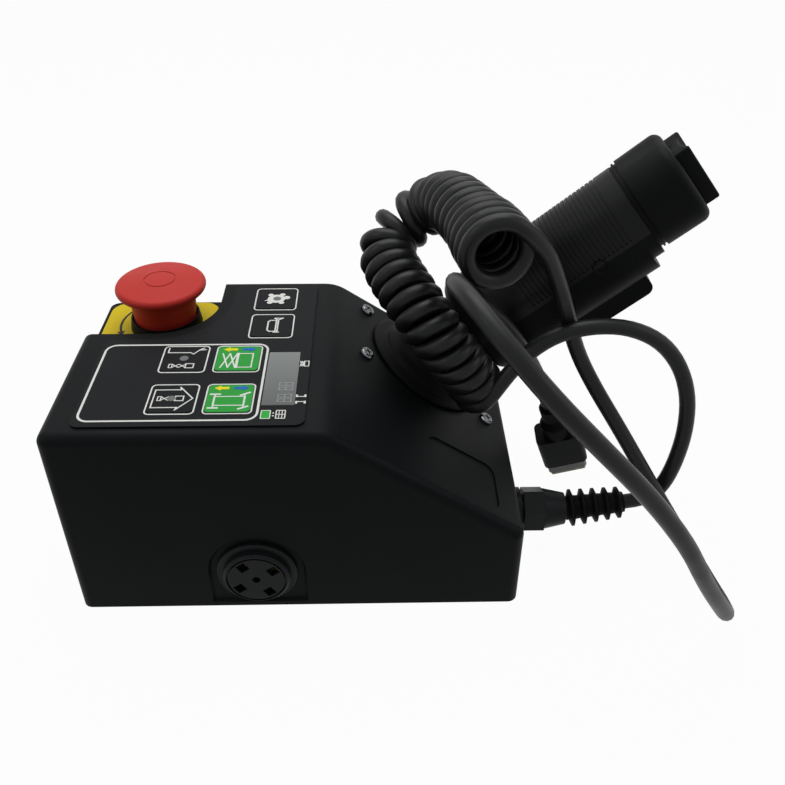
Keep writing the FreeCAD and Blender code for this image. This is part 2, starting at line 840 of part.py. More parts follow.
def key(name, x, y):
    """A cap in the film's window, with a nub that ends its travel on the switch's floor."""
    x, y = number(x), number(y)
    outline = rectangle("key_size", "key_size", "key_corner")
    cap = padded(name + "_cap", on_case(x, y, TOP - size("key_depth")), [outline],
                 "key_depth + overlay_thickness + key_proud")
    rest = "switch_floor + key_travel + fit_gap"
    nub = primitive("Cylinder", name + "_nub", on_case(x, y, BOARD_TOP + number(rest)),
                    Radius="key_nub_radius", Height=f"board_drop + case_wall - ({rest}) - key_depth/2")
    return joined(name + "_body", [cap, nub])


def switches():
    """The six tactile switches, each with a bore for its key's nub."""
    pieces = []
    half = size("switch_size") / 2
    for x, y in KEYS.values():
        x, y = number(x), number(y)
        can = primitive("Box", "switch_can", on_case(x - half, y - half, BOARD_TOP),
                        Length="switch_size", Width="switch_size", Height="switch_height")
        bore = primitive("Cylinder", "switch_bore", on_case(x, y, BOARD_TOP + size("switch_floor")),
                         Radius="key_nub_radius + fit_gap/2", Height="switch_height")
        pieces.append(cut("switch", can, [bore]))
    return group("switch_set", pieces)


BOARD_UNDER = BOARD_TOP - size("board_thickness")


def board():
    """A board that steps round the shelf and reaches past its posts and the display."""
    rim = "(board_post_radius + board_edge)"
    left = f"{SITE_COLUMN} - {BESIDE_KEY} - {rim}"
    right = f"max({CALL_COLUMN} + {BESIDE_KEY} + {rim}; {WINDOW_X} + window_width/2 + board_edge)"
    step_x = f"{SHELF_REACH_X} + board_clear_x"
    step_y = f"{SHELF_REACH_Y} - board_clear_y"
    far = "case_width - board_from_far"
    outline = [
        (left, "board_near"),
        (right, "board_near"),
        (right, far),
        (step_x, far),
        (step_x, step_y),
        (left, step_y),
    ]
    slab = padded("board_slab", on_case(0, 0, BOARD_UNDER), [outline], "board_thickness")
    holes = [primitive("Cylinder", "board_hole", on_case(x, y, BOARD_UNDER),
                       Radius="screw_radius + running_gap", Height="2*board_thickness")
             for x, y in BOARD_POSTS]
    return cut("board_body", slab, holes)


node("panel_overlay", overlay())
for key_name, (key_x, key_y) in KEYS.items():
    node(key_name, key(key_name, key_x, key_y))
window_outline = rectangle("window_width", "window_length", "key_gap")
window_x, window_y = number(WINDOW_X), number(WINDOW_Y)
node("lcd_window", padded("window_body", on_case(window_x, window_y, TOP - size("window_depth")),
                          [window_outline], "window_depth + overlay_thickness"))
node("lcd_module", padded("lcd_can", on_case(window_x, window_y, BOARD_TOP),
                          [window_outline], "board_drop + case_wall - window_depth"))
node("key_switches", switches())
node("control_board", board())
node("board_screws", group("board_screw_set", [
    screw("board_screw", on_case(x, y, BOARD_UNDER), "board_screw_length") for x, y in BOARD_POSTS]))
node("wire_header", primitive(
    "Box", "header_can", on_case(number(CALL_COLUMN) - size("header_length") / 2,
                                 number(HORN_ROW) - size("header_width") / 2,
                                 BOARD_UNDER - size("header_height")),
    Length="header_length", Width="header_width", Height="header_height"))


# Sounder in the near wall

FACE_TOP = "(sounder_flange_height + sounder_face_height)"
FACE_LIP = "(sounder_bore_radius - sounder_lip)"
NUT_SEAT = "-(case_wall - recess_depth)"


def sounder_face():
    """A ribbed disc with a ring groove, four square sound holes and one round one."""
    disc = turned("face_disc", sounder_frame, [
        ("0", "sounder_flange_height"),
        ("sounder_face_radius", "sounder_flange_height"),
        ("sounder_face_radius", f"{FACE_TOP} - sounder_face_chamfer"),
        ("sounder_face_radius - sounder_face_chamfer", FACE_TOP),
        ("face_groove_radius + face_groove", FACE_TOP),
        ("face_groove_radius + face_groove", f"{FACE_TOP} - face_groove_depth"),
        ("face_groove_radius", f"{FACE_TOP} - face_groove_depth"),
        ("face_groove_radius", FACE_TOP),
        ("0", FACE_TOP),
    ])
    half = size("sounder_slot") / 2
    offset = Placement(Vector(size("sounder_slot_offset") - half, -half, 0), Rotation())
    slots = []
    for quarter in range(4):
        spin = Placement(Vector(), Rotation(Vector(0, 0, 1), size("sounder_slot_turn") + 90 * quarter))
        slots.append(primitive("Box", "face_slot", sounder_frame * spin * offset, Length="sounder_slot",
                               Width="sounder_slot", Height=f"2*{FACE_TOP}"))
    slots.append(primitive("Cylinder", "face_hole", sounder_frame, Radius="sounder_slot*0.4",
                           Height=f"2*{FACE_TOP}"))
    return cut("face_body", disc, slots)


node("sounder_housing", turned("sounder_body", sounder_frame, [
    (FACE_LIP, "-sounder_tube_length"),
    ("sounder_tube_radius", "-sounder_tube_length"),
    ("sounder_tube_radius", "0"),
    ("sounder_flange_radius", "0"),
    ("sounder_flange_radius", "sounder_flange_height - sounder_flange_chamfer"),
    ("sounder_flange_radius - sounder_flange_chamfer", "sounder_flange_height"),
    ("sounder_bore_radius", "sounder_flange_height"),
    ("sounder_bore_radius", "-sounder_seat_depth"),
    (FACE_LIP, "-sounder_seat_depth"),
]))
node("sounder_face", sounder_face())
node("sounder_piezo", turned("piezo_body", sounder_frame, [
    ("0", "-sounder_seat_depth"),
    ("sounder_bore_radius - running_gap", "-sounder_seat_depth"),
    ("sounder_bore_radius - running_gap", "-sounder_seat_depth + piezo_thickness"),
    ("0", "-sounder_seat_depth + piezo_thickness"),
]))
node("sounder_nut", turned("sounder_nut_body", sounder_frame, [
    ("sounder_tube_radius + running_gap", NUT_SEAT + " - sounder_nut_height"),
    ("sounder_nut_radius", NUT_SEAT + " - sounder_nut_height"),
    ("sounder_nut_radius", NUT_SEAT),
    ("sounder_tube_radius + running_gap", NUT_SEAT),
]))


# Cable gland and its flexible sleeve

def on_gland(rise):
    return gland_frame * Placement(Vector(0, 0, rise), Rotation())


def gland_nut():
    hexagon = primitive("Prism", "nut_hex", on_gland(size("gland_nut_start")), Circumradius="gland_nut_hex",
                        Height="gland_nut_shoulder - gland_nut_start")
    dome = primitive("Cone", "nut_dome", on_gland(size("gland_nut_shoulder")), Radius1="gland_nut_hex*0.9",
                     Radius2="gland_mouth_radius", Height="gland_nut_end - gland_nut_shoulder")
    bore = primitive("Cylinder", "nut_bore", gland_frame, Radius="gland_neck_radius + running_gap",
                     Height="gland_nut_shoulder + cord_diameter/2")
    mouth = primitive("Cylinder", "nut_mouth", gland_frame, Radius="cord_diameter/2 + fit_gap",
                      Height="2*gland_nut_end")
    return cut("gland_nut_body", joined("nut_outside", [hexagon, dome]), [bore, mouth])


def flex_profile():
    """A tapered sleeve with fins that shrink towards the tip."""
    pitch = "flex_length/fin_count"
    profile = [("0", "0"), ("flex_root_radius", "0")]
    for fin in range(int(size("fin_count"))):
        share = f"{fin}/fin_count"
        core = f"flex_root_radius + (flex_tip_radius - flex_root_radius)*{share}"
        crest = f"fin_root_radius + (fin_tip_radius - fin_root_radius)*{share}"
        profile += [
            (core, f"{pitch}*({fin} + 0.2)"),
            (crest, f"{pitch}*({fin} + 0.4)"),
            (crest, f"{pitch}*({fin} + 0.6)"),
            (core, f"{pitch}*({fin} + 0.8)"),
        ]
    return profile + [("flex_tip_radius", "flex_length"), ("0", "flex_length")]


flex_lift = Rotation(Y_AXIS, -size("flex_lift"))
FLEX_GAP = size("flex_root_radius") * math.sin(math.radians(size("flex_lift"))) + size("running_gap")
flex_frame = on_gland(size("gland_nut_end") + FLEX_GAP) * Placement(Vector(), flex_lift)
node("gland_body", turned("gland_stem", gland_frame, [
    ("cord_diameter/2 + fit_gap", "-gland_thread_length"),
    ("gland_thread_radius", "-gland_thread_length"),
    ("gland_thread_radius", "0"),
    ("gland_collar_radius", "0"),
    ("gland_collar_radius", "gland_collar_height"),
    ("gland_neck_radius", "gland_collar_height"),
    ("gland_neck_radius", "gland_nut_shoulder"),
    ("cord_diameter/2 + fit_gap", "gland_nut_shoulder"),
]))
node("gland_nut", gland_nut())
node("gland_seal", turned("seal_ring", gland_frame, [
    ("cord_diameter/2 + running_gap", "gland_nut_shoulder"),
    ("gland_neck_radius", "gland_nut_shoulder"),
    ("gland_neck_radius", "gland_nut_shoulder + cord_diameter/2"),
    ("cord_diameter/2 + running_gap", "gland_nut_shoulder + cord_diameter/2"),
]))
locknut_seat = on_gland(-size("case_wall") - size("lock_nut_height"))
node("gland_locknut", cut("gland_locknut_body", primitive(
    "Prism", "locknut_hex", locknut_seat, Circumradius="gland_nut_hex + gland_locknut_extra",
    Height="lock_nut_height"), [primitive(
        "Cylinder", "locknut_bore", locknut_seat, Radius="gland_thread_radius + running_gap",
        Height="2*lock_nut_height")]))
node("gland_flex", turned("flex_sleeve", flex_frame, flex_profile()))


# Curly cord: lead, coil and tail, then the connector

FLEX_TIP = flex_frame.multVec(Vector(0, 0, size("flex_length")))
FLEX_LEAVE = flex_frame.multVec(Vector(0, 0, size("flex_length") + size("flex_run")))
LEAD_POINTS = [
    FLEX_TIP, FLEX_LEAVE, (168, -21.5, 32), (173.5, -19.5, 43), (176, -17, 58), (174, -14.5, 75),
    (168, -12.5, 91), (157, -11, 104), (142, -10.5, 111.5), (126, -10.5, 113), (111, -11.5, 110),
    (98.5, -12.5, 102), (89, -12.5, 90), (82, -10.5, 75),
]
COIL_POINTS = [
    (80.8, -1.3, 73), (67.2, -5, 93.5), (56, -3, 110), (47, 6, 121), (40, 19, 128), (36, 34, 134),
    (39, 45, 138), (48, 51, 142), (58.7, 49.3, 147), (67.4, 40, 151.5), (70.7, 27, 154.3),
    (73.2, 12.8, 155.3), (77.6, -4.2, 155.3), (83, -21.2, 153.3),
]
PLUG_BACK = Vector(117.4, 14, 52.2)
PLUG_WAY = Vector(0.33, 0.22, -0.92).normalize()
TAIL_POINTS = [
    (93, -18, 153.3), (97.3, -13.4, 140.5), (104, -8, 125), (112, -4, 109), (121, -2, 93), (132, -5, 77),
    (144, -14, 60), (157, -28, 41), (169, -41, 25), (179.5, -53, 12.5), (186.5, -65, 5.5), (188.5, -78, 6),
    (184.5, -89, 14.5), (175.5, -96, 29), (163, -99, 49), (147, -101, 75), (127, -105, 103), (107, -108, 126),
    (89, -105, 145), (74, -93, 159), (64, -75, 165), (61, -54, 159), (66, -34, 146), (77, -17, 128),
    (91, -5, 108), (102.5, 1.5, 88.7), PLUG_BACK - PLUG_WAY * size("plug_run"), PLUG_BACK,
]


def route(points):
    """Straight runs joined by arcs as large as the two runs of each corner allow."""
    edges = []
    start = points[0]
    smallest = None
    for before, corner, after in zip(points, points[1:], points[2:]):
        shorter = min((corner - before).Length, (after - corner).Length)
        half_turn = (corner - before).getAngle(after - corner) / 2
        reach = 0.45 * shorter
        radius = reach / math.tan(half_turn)
        smallest = radius if smallest is None else min(smallest, radius)
        into = corner + (before - corner).normalize() * reach
        away = corner + (after - corner).normalize() * reach
        bisector = ((before - corner).normalize() + (after - corner).normalize()).normalize()
        middle = corner + bisector * (radius / math.cos(half_turn) - radius)
        edges.append(Part.LineSegment(start, into).toShape())
        edges.append(Part.Arc(into, middle, away).toShape())
        start = away
    edges.append(Part.LineSegment(start, points[-1]).toShape())
    return Part.Wire(edges), smallest


def tube(name, points, radius):
    """A round tube along a route, its volume checked against its section and length."""
    points = [Vector(*point) for point in points]
    path, smallest = route(points)
    ring = Part.Wire([Part.Circle(points[0], points[1] - points[0], radius).toShape()])
    solid = path.makePipeShell([ring], True, False)
    expected = math.pi * radius ** 2 * path.Length
    if abs(solid.Volume / expected - 1) > 0.01:
        raise ValueError(f"{name}: volume {solid.Volume:.0f} is not {expected:.0f}")
    print(f"{name}: length {path.Length:.0f} mm, smallest radius {smallest:.0f} mm")
    cord = doc.addObject("Part::Feature", name + "_tube")
    cord.Shape = solid
    return cord


cord_radius = size("cord_diameter") / 2
node("cord_lead", tube("cord_lead", LEAD_POINTS, cord_radius))
node("cord_coil", tube("cord_coil", COIL_POINTS, size("coil_diameter") / 2))
node("cord_tail", tube("cord_tail", TAIL_POINTS, cord_radius))

plug_frame = Placement(PLUG_BACK, Rotation(Vector(1, 0, 0), Vector(0, 0, 0), PLUG_WAY, "ZXY"))


def plug_piece(name, start, inset, length):
    """A round-cornered block along the plug's own axis."""
    outline = rectangle(f"connector_width - 2*({inset})", f"connector_depth - 2*({inset})",
                        f"connector_corner - ({inset})")
    frame = plug_frame * Placement(Vector(0, 0, number(start)), Rotation())
    return padded(name, frame, [outline], length)


node("connector_backshell", turned("backshell_body", plug_frame, [
    ("0", "0"),
    ("cord_diameter/2 + backshell_lip", "0"),
    ("cord_diameter/2 + backshell_lip", "backshell_length*0.4"),
    ("backshell_radius", "backshell_length*0.6"),
    ("backshell_radius", "backshell_length"),
    ("0", "backshell_length"),
]))
PLUG_END = "backshell_length + connector_length"
node("connector_body", plug_piece("connector_block", "backshell_length", "0", "connector_length"))
node("connector_shell", plug_piece("connector_rim", PLUG_END, "shell_inset", "shell_length"))
node("connector_insert", plug_piece("connector_pins", PLUG_END + " + shell_length",
                                    "shell_inset + insert_inset", "insert_length"))


# Joystick carrier, pivot and shaft

def on_slope(x, y, z, rotation=None):
    return slope_frame * Placement(Vector(x, y, z), rotation or Rotation())


ALONG_Y = Rotation(X_AXIS, -90)
CARRIER_TOP = -size("case_wall")
CARRIER_BOTTOM = CARRIER_TOP - size("carrier_thickness")


def carrier():
    plate = primitive("Box", "carrier_plate",
                      on_slope(-size("carrier_length") / 2, -size("carrier_width") / 2, CARRIER_BOTTOM),
                      Length="carrier_length", Width="carrier_width", Height="carrier_thickness")
    lugs = []
    gap = size("hub_length") / 2 + size("fit_gap")
    for side in (-1, 1):
        y = gap if side > 0 else -gap - size("lug_thickness")
        corner = on_slope(-size("lug_width") / 2, y, CARRIER_BOTTOM - size("lug_height"))
        lugs.append(primitive("Box", "carrier_lug", corner, Length="lug_width", Width="lug_thickness",
                              Height="lug_height + carrier_thickness"))
    under = CARRIER_BOTTOM - size("carrier_thickness")
    throat = primitive("Box", "carrier_throat", on_slope(-size("lug_width"), -gap, under),
                       Length="2*lug_width", Width="hub_length + 2*fit_gap", Height="3*carrier_thickness")
    bore = primitive("Cylinder", "carrier_bore",
                     on_slope(0, -size("carrier_width") / 2, -size("pivot_depth"), ALONG_Y),
                     Radius="pivot_radius + running_gap", Height="carrier_width")
    screw_holes = [primitive("Cylinder", "carrier_hole", on_slope(s, y, under),
                             Radius="screw_radius + running_gap", Height="3*carrier_thickness")
                   for s, y in MOUNT_SCREWS]
    return cut("carrier_body", joined("carrier_solid", [plate] + lugs), [throat, bore] + screw_holes)


def shaft():
    hub = primitive("Cylinder", "hub", on_slope(0, -size("hub_length") / 2, -size("pivot_depth"), ALONG_Y),
                    Radius="hub_radius", Height="hub_length")
    lower = primitive("Cylinder", "shaft_lower", on_slope(0, 0, -size("pivot_depth")), Radius="shaft_radius",
                      Height="pivot_depth + knee_height")
    elbow = primitive("Sphere", "shaft_elbow", handle_frame, Radius="shaft_radius")
    upper = primitive("Cylinder", "shaft_upper", handle_frame, Radius="shaft_radius", Height="shaft_socket")
    bore = primitive("Cylinder", "hub_bore", on_slope(0, -size("hub_length"), -size("pivot_depth"), ALONG_Y),
                     Radius="pivot_radius + running_gap", Height="2*hub_length")
    return cut("shaft_body", joined("shaft_solid", [hub, lower, elbow, upper]), [bore])


def boot_profile():
    """Bellows that shrink from the flange to the neck, one wall thick."""
    folds = int(size("boot_folds"))
    rise = "boot_flange_height + (boot_height - boot_flange_height)*"
    crest_fall = "(boot_neck_radius + boot_wall + boot_crest - boot_radius)"
    root_fall = "(boot_neck_radius + boot_wall + boot_root - boot_radius)"
    outside = []
    inside = []
    for fold in range(folds):
        share = (fold + 0.5) / folds
        dip = share + 0.42 / folds + 0.02
        crest = f"boot_radius + {crest_fall}*{share}"
        root = f"boot_radius - boot_root + {root_fall}*{share + 0.5 / folds}"
        outside += [
            (crest, f"{rise}{share - 0.12}"),
            (crest, f"{rise}{share + 0.12}"),
            (root, f"{rise}{dip}"),
        ]
        inside.append((f"{crest} - boot_wall*1.2", f"{rise}{share}"))
        inside.append((f"{root} - boot_wall", f"{rise}{dip}"))
    foot = [
        ("boot_radius - boot_wall", "0"),
        ("boot_flange_radius", "0"),
        ("boot_flange_radius", "boot_flange_height"),
        ("boot_radius - boot_collar", "boot_flange_height"),
    ]
    neck = [
        ("boot_neck_radius + boot_wall", "boot_height - boot_collar"),
        ("boot_neck_radius + boot_wall", "boot_height"),
        ("shaft_radius + fit_gap", "boot_height"),
        ("shaft_radius + fit_gap", "boot_height - boot_collar"),
    ]
    return foot + outside[:-1] + neck + inside[-2::-1]


node("joystick_carrier", carrier())
node("joystick_pin", primitive("Cylinder", "pivot_pin", on_slope(
    0, -size("hub_length") / 2 - size("fit_gap") - size("lug_thickness"), -size("pivot_depth"), ALONG_Y),
    Radius="pivot_radius", Height="hub_length + 2*fit_gap + 2*lug_thickness"))
node("joystick_shaft", shaft())
node("joystick_boot", turned("boot_bellows", slope_frame, boot_profile()))
DOWN = Rotation(X_AXIS, 180)
node("joystick_screws", group("mount_screw_set", [
    screw("mount_screw", on_slope(s, y, 0, DOWN), "mount_screw_length") for s, y in MOUNT_SCREWS]))


# Handle: two grip halves, ring, head, rocker and trigger

def on_handle(x, y, z, rotation=None):
    return handle_frame * Placement(Vector(x, y, z), rotation or Rotation())


def shaft_bore():
    return primitive("Cylinder", "grip_bore", on_handle(0, 0, -size("knee_height")),
                     Radius="shaft_radius + running_gap", Height="knee_height + shaft_socket + fit_gap")


def palm_outline(inset):
    """The palm half of the grip's section, drawn in by an inset."""
    side = f"grip_half_width - ({inset})"
    centre = "grip_half_width - palm_depth"
    return [
        ("split_x", f"-({side})"),
        ("split_x", side),
        (centre, side),
        (f"{centre} - ({side})", "0", side, "left"),
        (centre, f"-({side})", side, "left"),
    ]


def rib_grooves():
    """Flat rings round the palm half that leave its ribs standing."""
    tools = []
    for rib in range(int(size("rib_count"))):
        rise = size("rib_start") + rib * size("rib_pitch")
        corner = on_handle(-2 * size("palm_depth"), -2 * size("palm_depth"), rise)
        slab = primitive("Box", "rib_slab", corner, Length="2*palm_depth + split_x - rib_edge",
                         Width="4*palm_depth", Height="rib_groove")
        core = padded("rib_core", on_handle(0, 0, rise - size("rib_groove")), [palm_outline("rib_depth")],
                      "3*rib_groove")
        tools.append(cut("rib_cut", slab, [core]))
    return tools


def lower_end(box):
    """The edges round a grip half's lower end, without the one on the split."""
    on_split = box.XLength < 0.01 and abs(box.XMin - size("split_x")) < 0.01
    return box.ZMax < 0.01 and not on_split


def palm():
    blank = padded("palm_half", on_handle(0, 0, size("grip_start")), [palm_outline("0")],
                   "grip_end - grip_start")
    rounded(blank, blank.Tip, "grip_round", lower_end)
    return cut("palm_body", blank, [shaft_bore()] + rib_grooves())


TRIGGER_PIN_X = number("trigger_inner + trigger_pin_offset")
TRIGGER_PIN_Z = number("trigger_start + trigger_pin_rise")
TRIGGER_PIN_LENGTH = "trigger_width + 2*pin_seat"
trigger_hinge = on_handle(TRIGGER_PIN_X, -number(TRIGGER_PIN_LENGTH) / 2, TRIGGER_PIN_Z, ALONG_Y)


def front_outline(depth, corner):
    """The front half of the grip's section, as deep and as round as asked."""
    return [
        ("split_x", "-grip_half_width"),
        (f"{depth} - {corner}", "-grip_half_width"),
        (depth, f"-grip_half_width + {corner}", corner, "left"),
        (depth, f"grip_half_width - {corner}"),
        (f"{depth} - {corner}", "grip_half_width", corner, "left"),
        ("split_x", "grip_half_width"),
    ]


def front():
    blank = padded("front_half", on_handle(0, 0, size("grip_start")),
                   [front_outline("front_depth", "front_round")], "front_end - grip_start")
    rounded(blank, blank.Tip, "grip_round", lower_end)
    neck = padded("front_neck", on_handle(0, 0, size("front_end")),
                  [front_outline("palm_depth", "front_neck_round")], "grip_end - front_end")
    corner = on_handle(number("front_depth - trigger_slot_depth"), number("-trigger_width/2 - fit_gap"),
                       number("trigger_start - trigger_gap"))
    slot = primitive("Box", "trigger_slot", corner, Length="2*trigger_slot_depth",
                     Width="trigger_width + 2*fit_gap", Height="trigger_end - trigger_start + 2*trigger_gap")
    pin = primitive("Cylinder", "trigger_pin_bore", trigger_hinge, Radius="small_pin_radius + running_gap",
                    Height=TRIGGER_PIN_LENGTH)
    return cut("front_body", joined("front_solid", [blank, neck]), [shaft_bore(), slot, pin])


node("grip_rear", palm())
node("grip_front", front())
HEAD_START = size("grip_end") + size("ring_height")


def head_ring():
    """A neck between grip and head that leaves two thin grooves beside its middle rib."""
    def slab(name, inset, start, height):
        side = f"head_size - 2*{inset}"
        outline = rectangle(side, side, f"head_corner - {inset}")
        return padded(name, on_handle(0, 0, start), [outline], height)

    rib_start = size("grip_end") + (size("ring_height") - size("ring_rib")) / 2
    neck = slab("ring_neck", "ring_inset", size("grip_end"), "ring_height")
    return joined("ring_body", [neck, slab("ring_middle", "ring_rib_inset", rib_start, "ring_rib")])


PIVOT_RISE = HEAD_START + size("head_height") - size("rocker_drop")
ROCKER_PIN_LENGTH = "rocker_width + 2*pin_seat"
rocker_hinge = on_handle(-number(ROCKER_PIN_LENGTH) / 2, 0, PIVOT_RISE, TO_RIGHT)


def head():
    outline = rectangle("head_size", "head_size", "head_corner")
    blank = padded("head_block", on_handle(0, 0, HEAD_START), [outline], "head_height")
    top = size("head_height")
    rounded(blank, blank.Tip, "head_round", lambda box: box.ZMin > top - 0.01)
    corner = on_handle(-size("rocker_width") / 2 - size("fit_gap"),
                       -size("rocker_length") / 2 - size("rocker_clear"),
                       PIVOT_RISE - size("rocker_round") - size("fit_gap"))
    room = primitive("Box", "rocker_room", corner, Length="rocker_width + 2*fit_gap",
                     Width="rocker_length + 2*rocker_clear", Height="rocker_round + fit_gap + 2*rocker_drop")
    bore = primitive("Cylinder", "rocker_pin_bore", rocker_hinge, Radius="small_pin_radius + running_gap",
                     Height=ROCKER_PIN_LENGTH)
    return cut("head_body", blank, [room, bore])


def rocker():
    """A dished thumb block over a round hinge, padded along its own hinge."""
    tip = "rocker_length/2"
    foot = "wing_height - wing_thickness"
    lip = f"({tip} - wing_flat)"
    dish = f"({lip}^2 + rocker_dish^2)/(2*rocker_dish)"
    flank = "rocker_round*0.9"
    seat = "-rocker_round*0.436"
    outline = [
        (f"-{tip}", foot),
        (f"-{flank}", seat),
        ("0", "-rocker_round", "rocker_round", "left"),
        (flank, seat, "rocker_round", "left"),
        (tip, foot),
        (tip, "wing_height"),
        (lip, "wing_height"),
        ("0", "wing_height - rocker_dish", dish, "right"),
        (f"-{lip}", "wing_height", dish, "right"),
        (f"-{tip}", "wing_height"),
    ]
    frame = on_handle(0, 0, PIVOT_RISE, Rotation(Vector(0, 0, 1), 90))
    blank = padded("rocker_saddle", frame, [outline], "rocker_width", "XZ_Plane", both_ways=True)
    bore = primitive("Cylinder", "saddle_bore", rocker_hinge, Radius="small_pin_radius + running_gap",
                     Height=ROCKER_PIN_LENGTH)
    return cut("rocker_body", blank, [bore])


def trigger():
    """A curved lever seen from its side, padded across the handle."""
    tip = "trigger_outer - trigger_tip"
    outline = [
        ("trigger_inner - trigger_lean", "trigger_start + trigger_gap"),
        ("trigger_inner + trigger_heel", "trigger_start"),
        ("trigger_outer", "trigger_start + trigger_curl", "trigger_sweep", "left"),
        ("trigger_outer", "trigger_end - trigger_tip"),
        (tip, "trigger_end", "trigger_tip", "left"),
        ("trigger_inner + trigger_lean", "trigger_end"),
        ("trigger_inner", "trigger_end - trigger_heel"),
    ]
    blank = padded("trigger_lever", handle_frame, [outline], "trigger_width", "XZ_Plane", both_ways=True)
    bore = primitive("Cylinder", "lever_bore", trigger_hinge, Radius="small_pin_radius + running_gap",
                     Height=TRIGGER_PIN_LENGTH)
    return cut("trigger_body", blank, [bore])


node("head_ring", head_ring())
node("handle_head", head())
node("steer_rocker", rocker())
node("rocker_pin", primitive("Cylinder", "rocker_axle", rocker_hinge, Radius="small_pin_radius",
                             Height=ROCKER_PIN_LENGTH))
node("enable_trigger", trigger())
node("trigger_pin", primitive("Cylinder", "trigger_axle", trigger_hinge, Radius="small_pin_radius",
                              Height=TRIGGER_PIN_LENGTH))
node("trigger_switch", primitive("Box", "micro_switch", on_handle(
    size("front_depth") - size("trigger_slot_depth"), -size("micro_width") / 2,
    size("trigger_start") + size("micro_rise")),
    Length="micro_height", Width="micro_width", Height="micro_length"))


# Check and write

doc.recompute()
for thing in doc.Objects:
    if "Invalid" in thing.State or "Error" in thing.State:
        raise ValueError(f"{thing.Name} ({thing.Label}) failed: {thing.State}")
os.makedirs("parts", exist_ok=True)
for thing in nodes:
    shape = thing.Shape
    if shape.isNull() or not shape.isValid() or not shape.Solids:
        raise ValueError(f"{thing.Label} has no valid solid")
    shape.exportStep(f"parts/{thing.Label}.step")
    print(f"{thing.Label}: {len(shape.Solids)} solid, {shape.Volume:.0f} mm3")
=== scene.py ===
# %% [markdown]
# # A scissor lift's control box
# The box hangs on a platform's rail or stands on a table. Its case, keys, handle and plug come from
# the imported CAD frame, so this lesson dresses them with finishes and printed signs. It also makes
# what CAD left plain: the curly cord, the soft boot, the stop's cap and collar, the screws and the
# thumb rocker.

# %% Load the frame
import math

import bmesh
import bpy
from mathutils import Matrix, Vector


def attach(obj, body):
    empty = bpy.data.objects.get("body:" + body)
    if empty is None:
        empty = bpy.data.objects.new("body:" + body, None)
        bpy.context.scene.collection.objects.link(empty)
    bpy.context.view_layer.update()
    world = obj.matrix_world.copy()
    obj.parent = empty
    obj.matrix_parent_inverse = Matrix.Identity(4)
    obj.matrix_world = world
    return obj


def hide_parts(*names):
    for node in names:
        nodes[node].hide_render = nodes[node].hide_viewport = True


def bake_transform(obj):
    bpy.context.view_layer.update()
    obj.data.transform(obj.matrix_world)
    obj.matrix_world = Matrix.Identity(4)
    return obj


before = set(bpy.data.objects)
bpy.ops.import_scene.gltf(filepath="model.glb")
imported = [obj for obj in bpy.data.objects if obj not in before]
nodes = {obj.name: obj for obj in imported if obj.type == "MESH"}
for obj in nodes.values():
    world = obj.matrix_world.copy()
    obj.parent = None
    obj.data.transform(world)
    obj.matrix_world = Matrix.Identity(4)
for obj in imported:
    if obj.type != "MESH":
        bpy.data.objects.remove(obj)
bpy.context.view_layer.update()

MM = 0.001
print("pieces from CAD:", len(nodes))

# %% [markdown]
# ## Camera
# The photograph was taken from about a third of a metre in front of the box and as far above its
# foot. The camera's place, turn and lens were found by fitting the case's straight edges, so they
# are written down as numbers, instead of the camera being aimed with a constraint.

# %% Place the camera
PHOTO_PIXELS = 785
FOCAL_PIXELS = 876.46
SENSOR_WIDTH = 36.0  # millimetres
CAMERA_PLACE = (0.03454, -0.32094, 0.30628)
YAW, PITCH, ROLL = 1.277, 36.16, 0.227  # degrees
yaw, pitch, roll = (math.radians(angle) for angle in (YAW, PITCH, ROLL))
forward = Vector((math.sin(yaw) * math.cos(pitch), math.cos(yaw) * math.cos(pitch), -math.sin(pitch)))
level = forward.cross(Vector((0, 0, 1))).normalized()
upright = level.cross(forward)
right = level * math.cos(roll) + upright * math.sin(roll)
up = upright * math.cos(roll) - level * math.sin(roll)

camera = bpy.data.objects.new("camera", bpy.data.cameras.new("camera"))
camera.data.sensor_width = SENSOR_WIDTH
camera.data.lens = FOCAL_PIXELS * SENSOR_WIDTH / PHOTO_PIXELS
camera.data.clip_start = 0.01
camera.matrix_world = Matrix((right, up, -forward)).transposed().to_4x4()
camera.location = CAMERA_PLACE
bpy.context.scene.collection.objects.link(camera)
bpy.context.scene.camera = camera
print("lens", round(camera.data.lens, 2), "mm")

# %% [markdown]
# ## Small tools
# Colours are written as a paint chart writes them and turned into the linear numbers that the
# renderer needs. One helper adds a shader node with its settings and links, so every material
# below reads as a list of what it is made of.

# %% Colour and node helpers


def linear(hex_colour):
    """A colour like #1a2b3c as linear red, green, blue and alpha."""
    parts = [int(hex_colour[i:i + 2], 16) / 255 for i in (1, 3, 5)]
    return [c / 12.92 if c <= 0.04045 else ((c + 0.055) / 1.055) ** 2.4 for c in parts] + [1.0]


def add(tree, kind, inputs=None, **settings):
    """A shader node with its settings, whose inputs are numbers, colours or other nodes' outputs."""
    node = tree.nodes.new("ShaderNode" + kind)
    for name, value in settings.items():
        setattr(node, name, value)
    for name, value in (inputs or {}).items():
        if isinstance(value, bpy.types.NodeSocket):
            tree.links.new(value, node.inputs[name])
        else:
            node.inputs[name].default_value = value
    return node


def finish(name, colour, roughness, **sockets):
    """A material with one Principled shader, ready for its pattern."""
    material = bpy.data.materials.new(name)
    material.use_nodes = True
    tree = material.node_tree
    tree.nodes.clear()
    shader = add(tree, "BsdfPrincipled", {"Base Color": linear(colour), "Roughness": roughness, **sockets})
    add(tree, "OutputMaterial", {"Surface": shader.outputs["BSDF"]})
    return material, tree, shader


def dress(material, *names):
    """Hand a material to CAD pieces."""
    for name in names:
        mesh = nodes[name].data
        mesh.materials.clear()
        mesh.materials.append(material)
    print(material.name, "on", len(names), "CAD pieces")


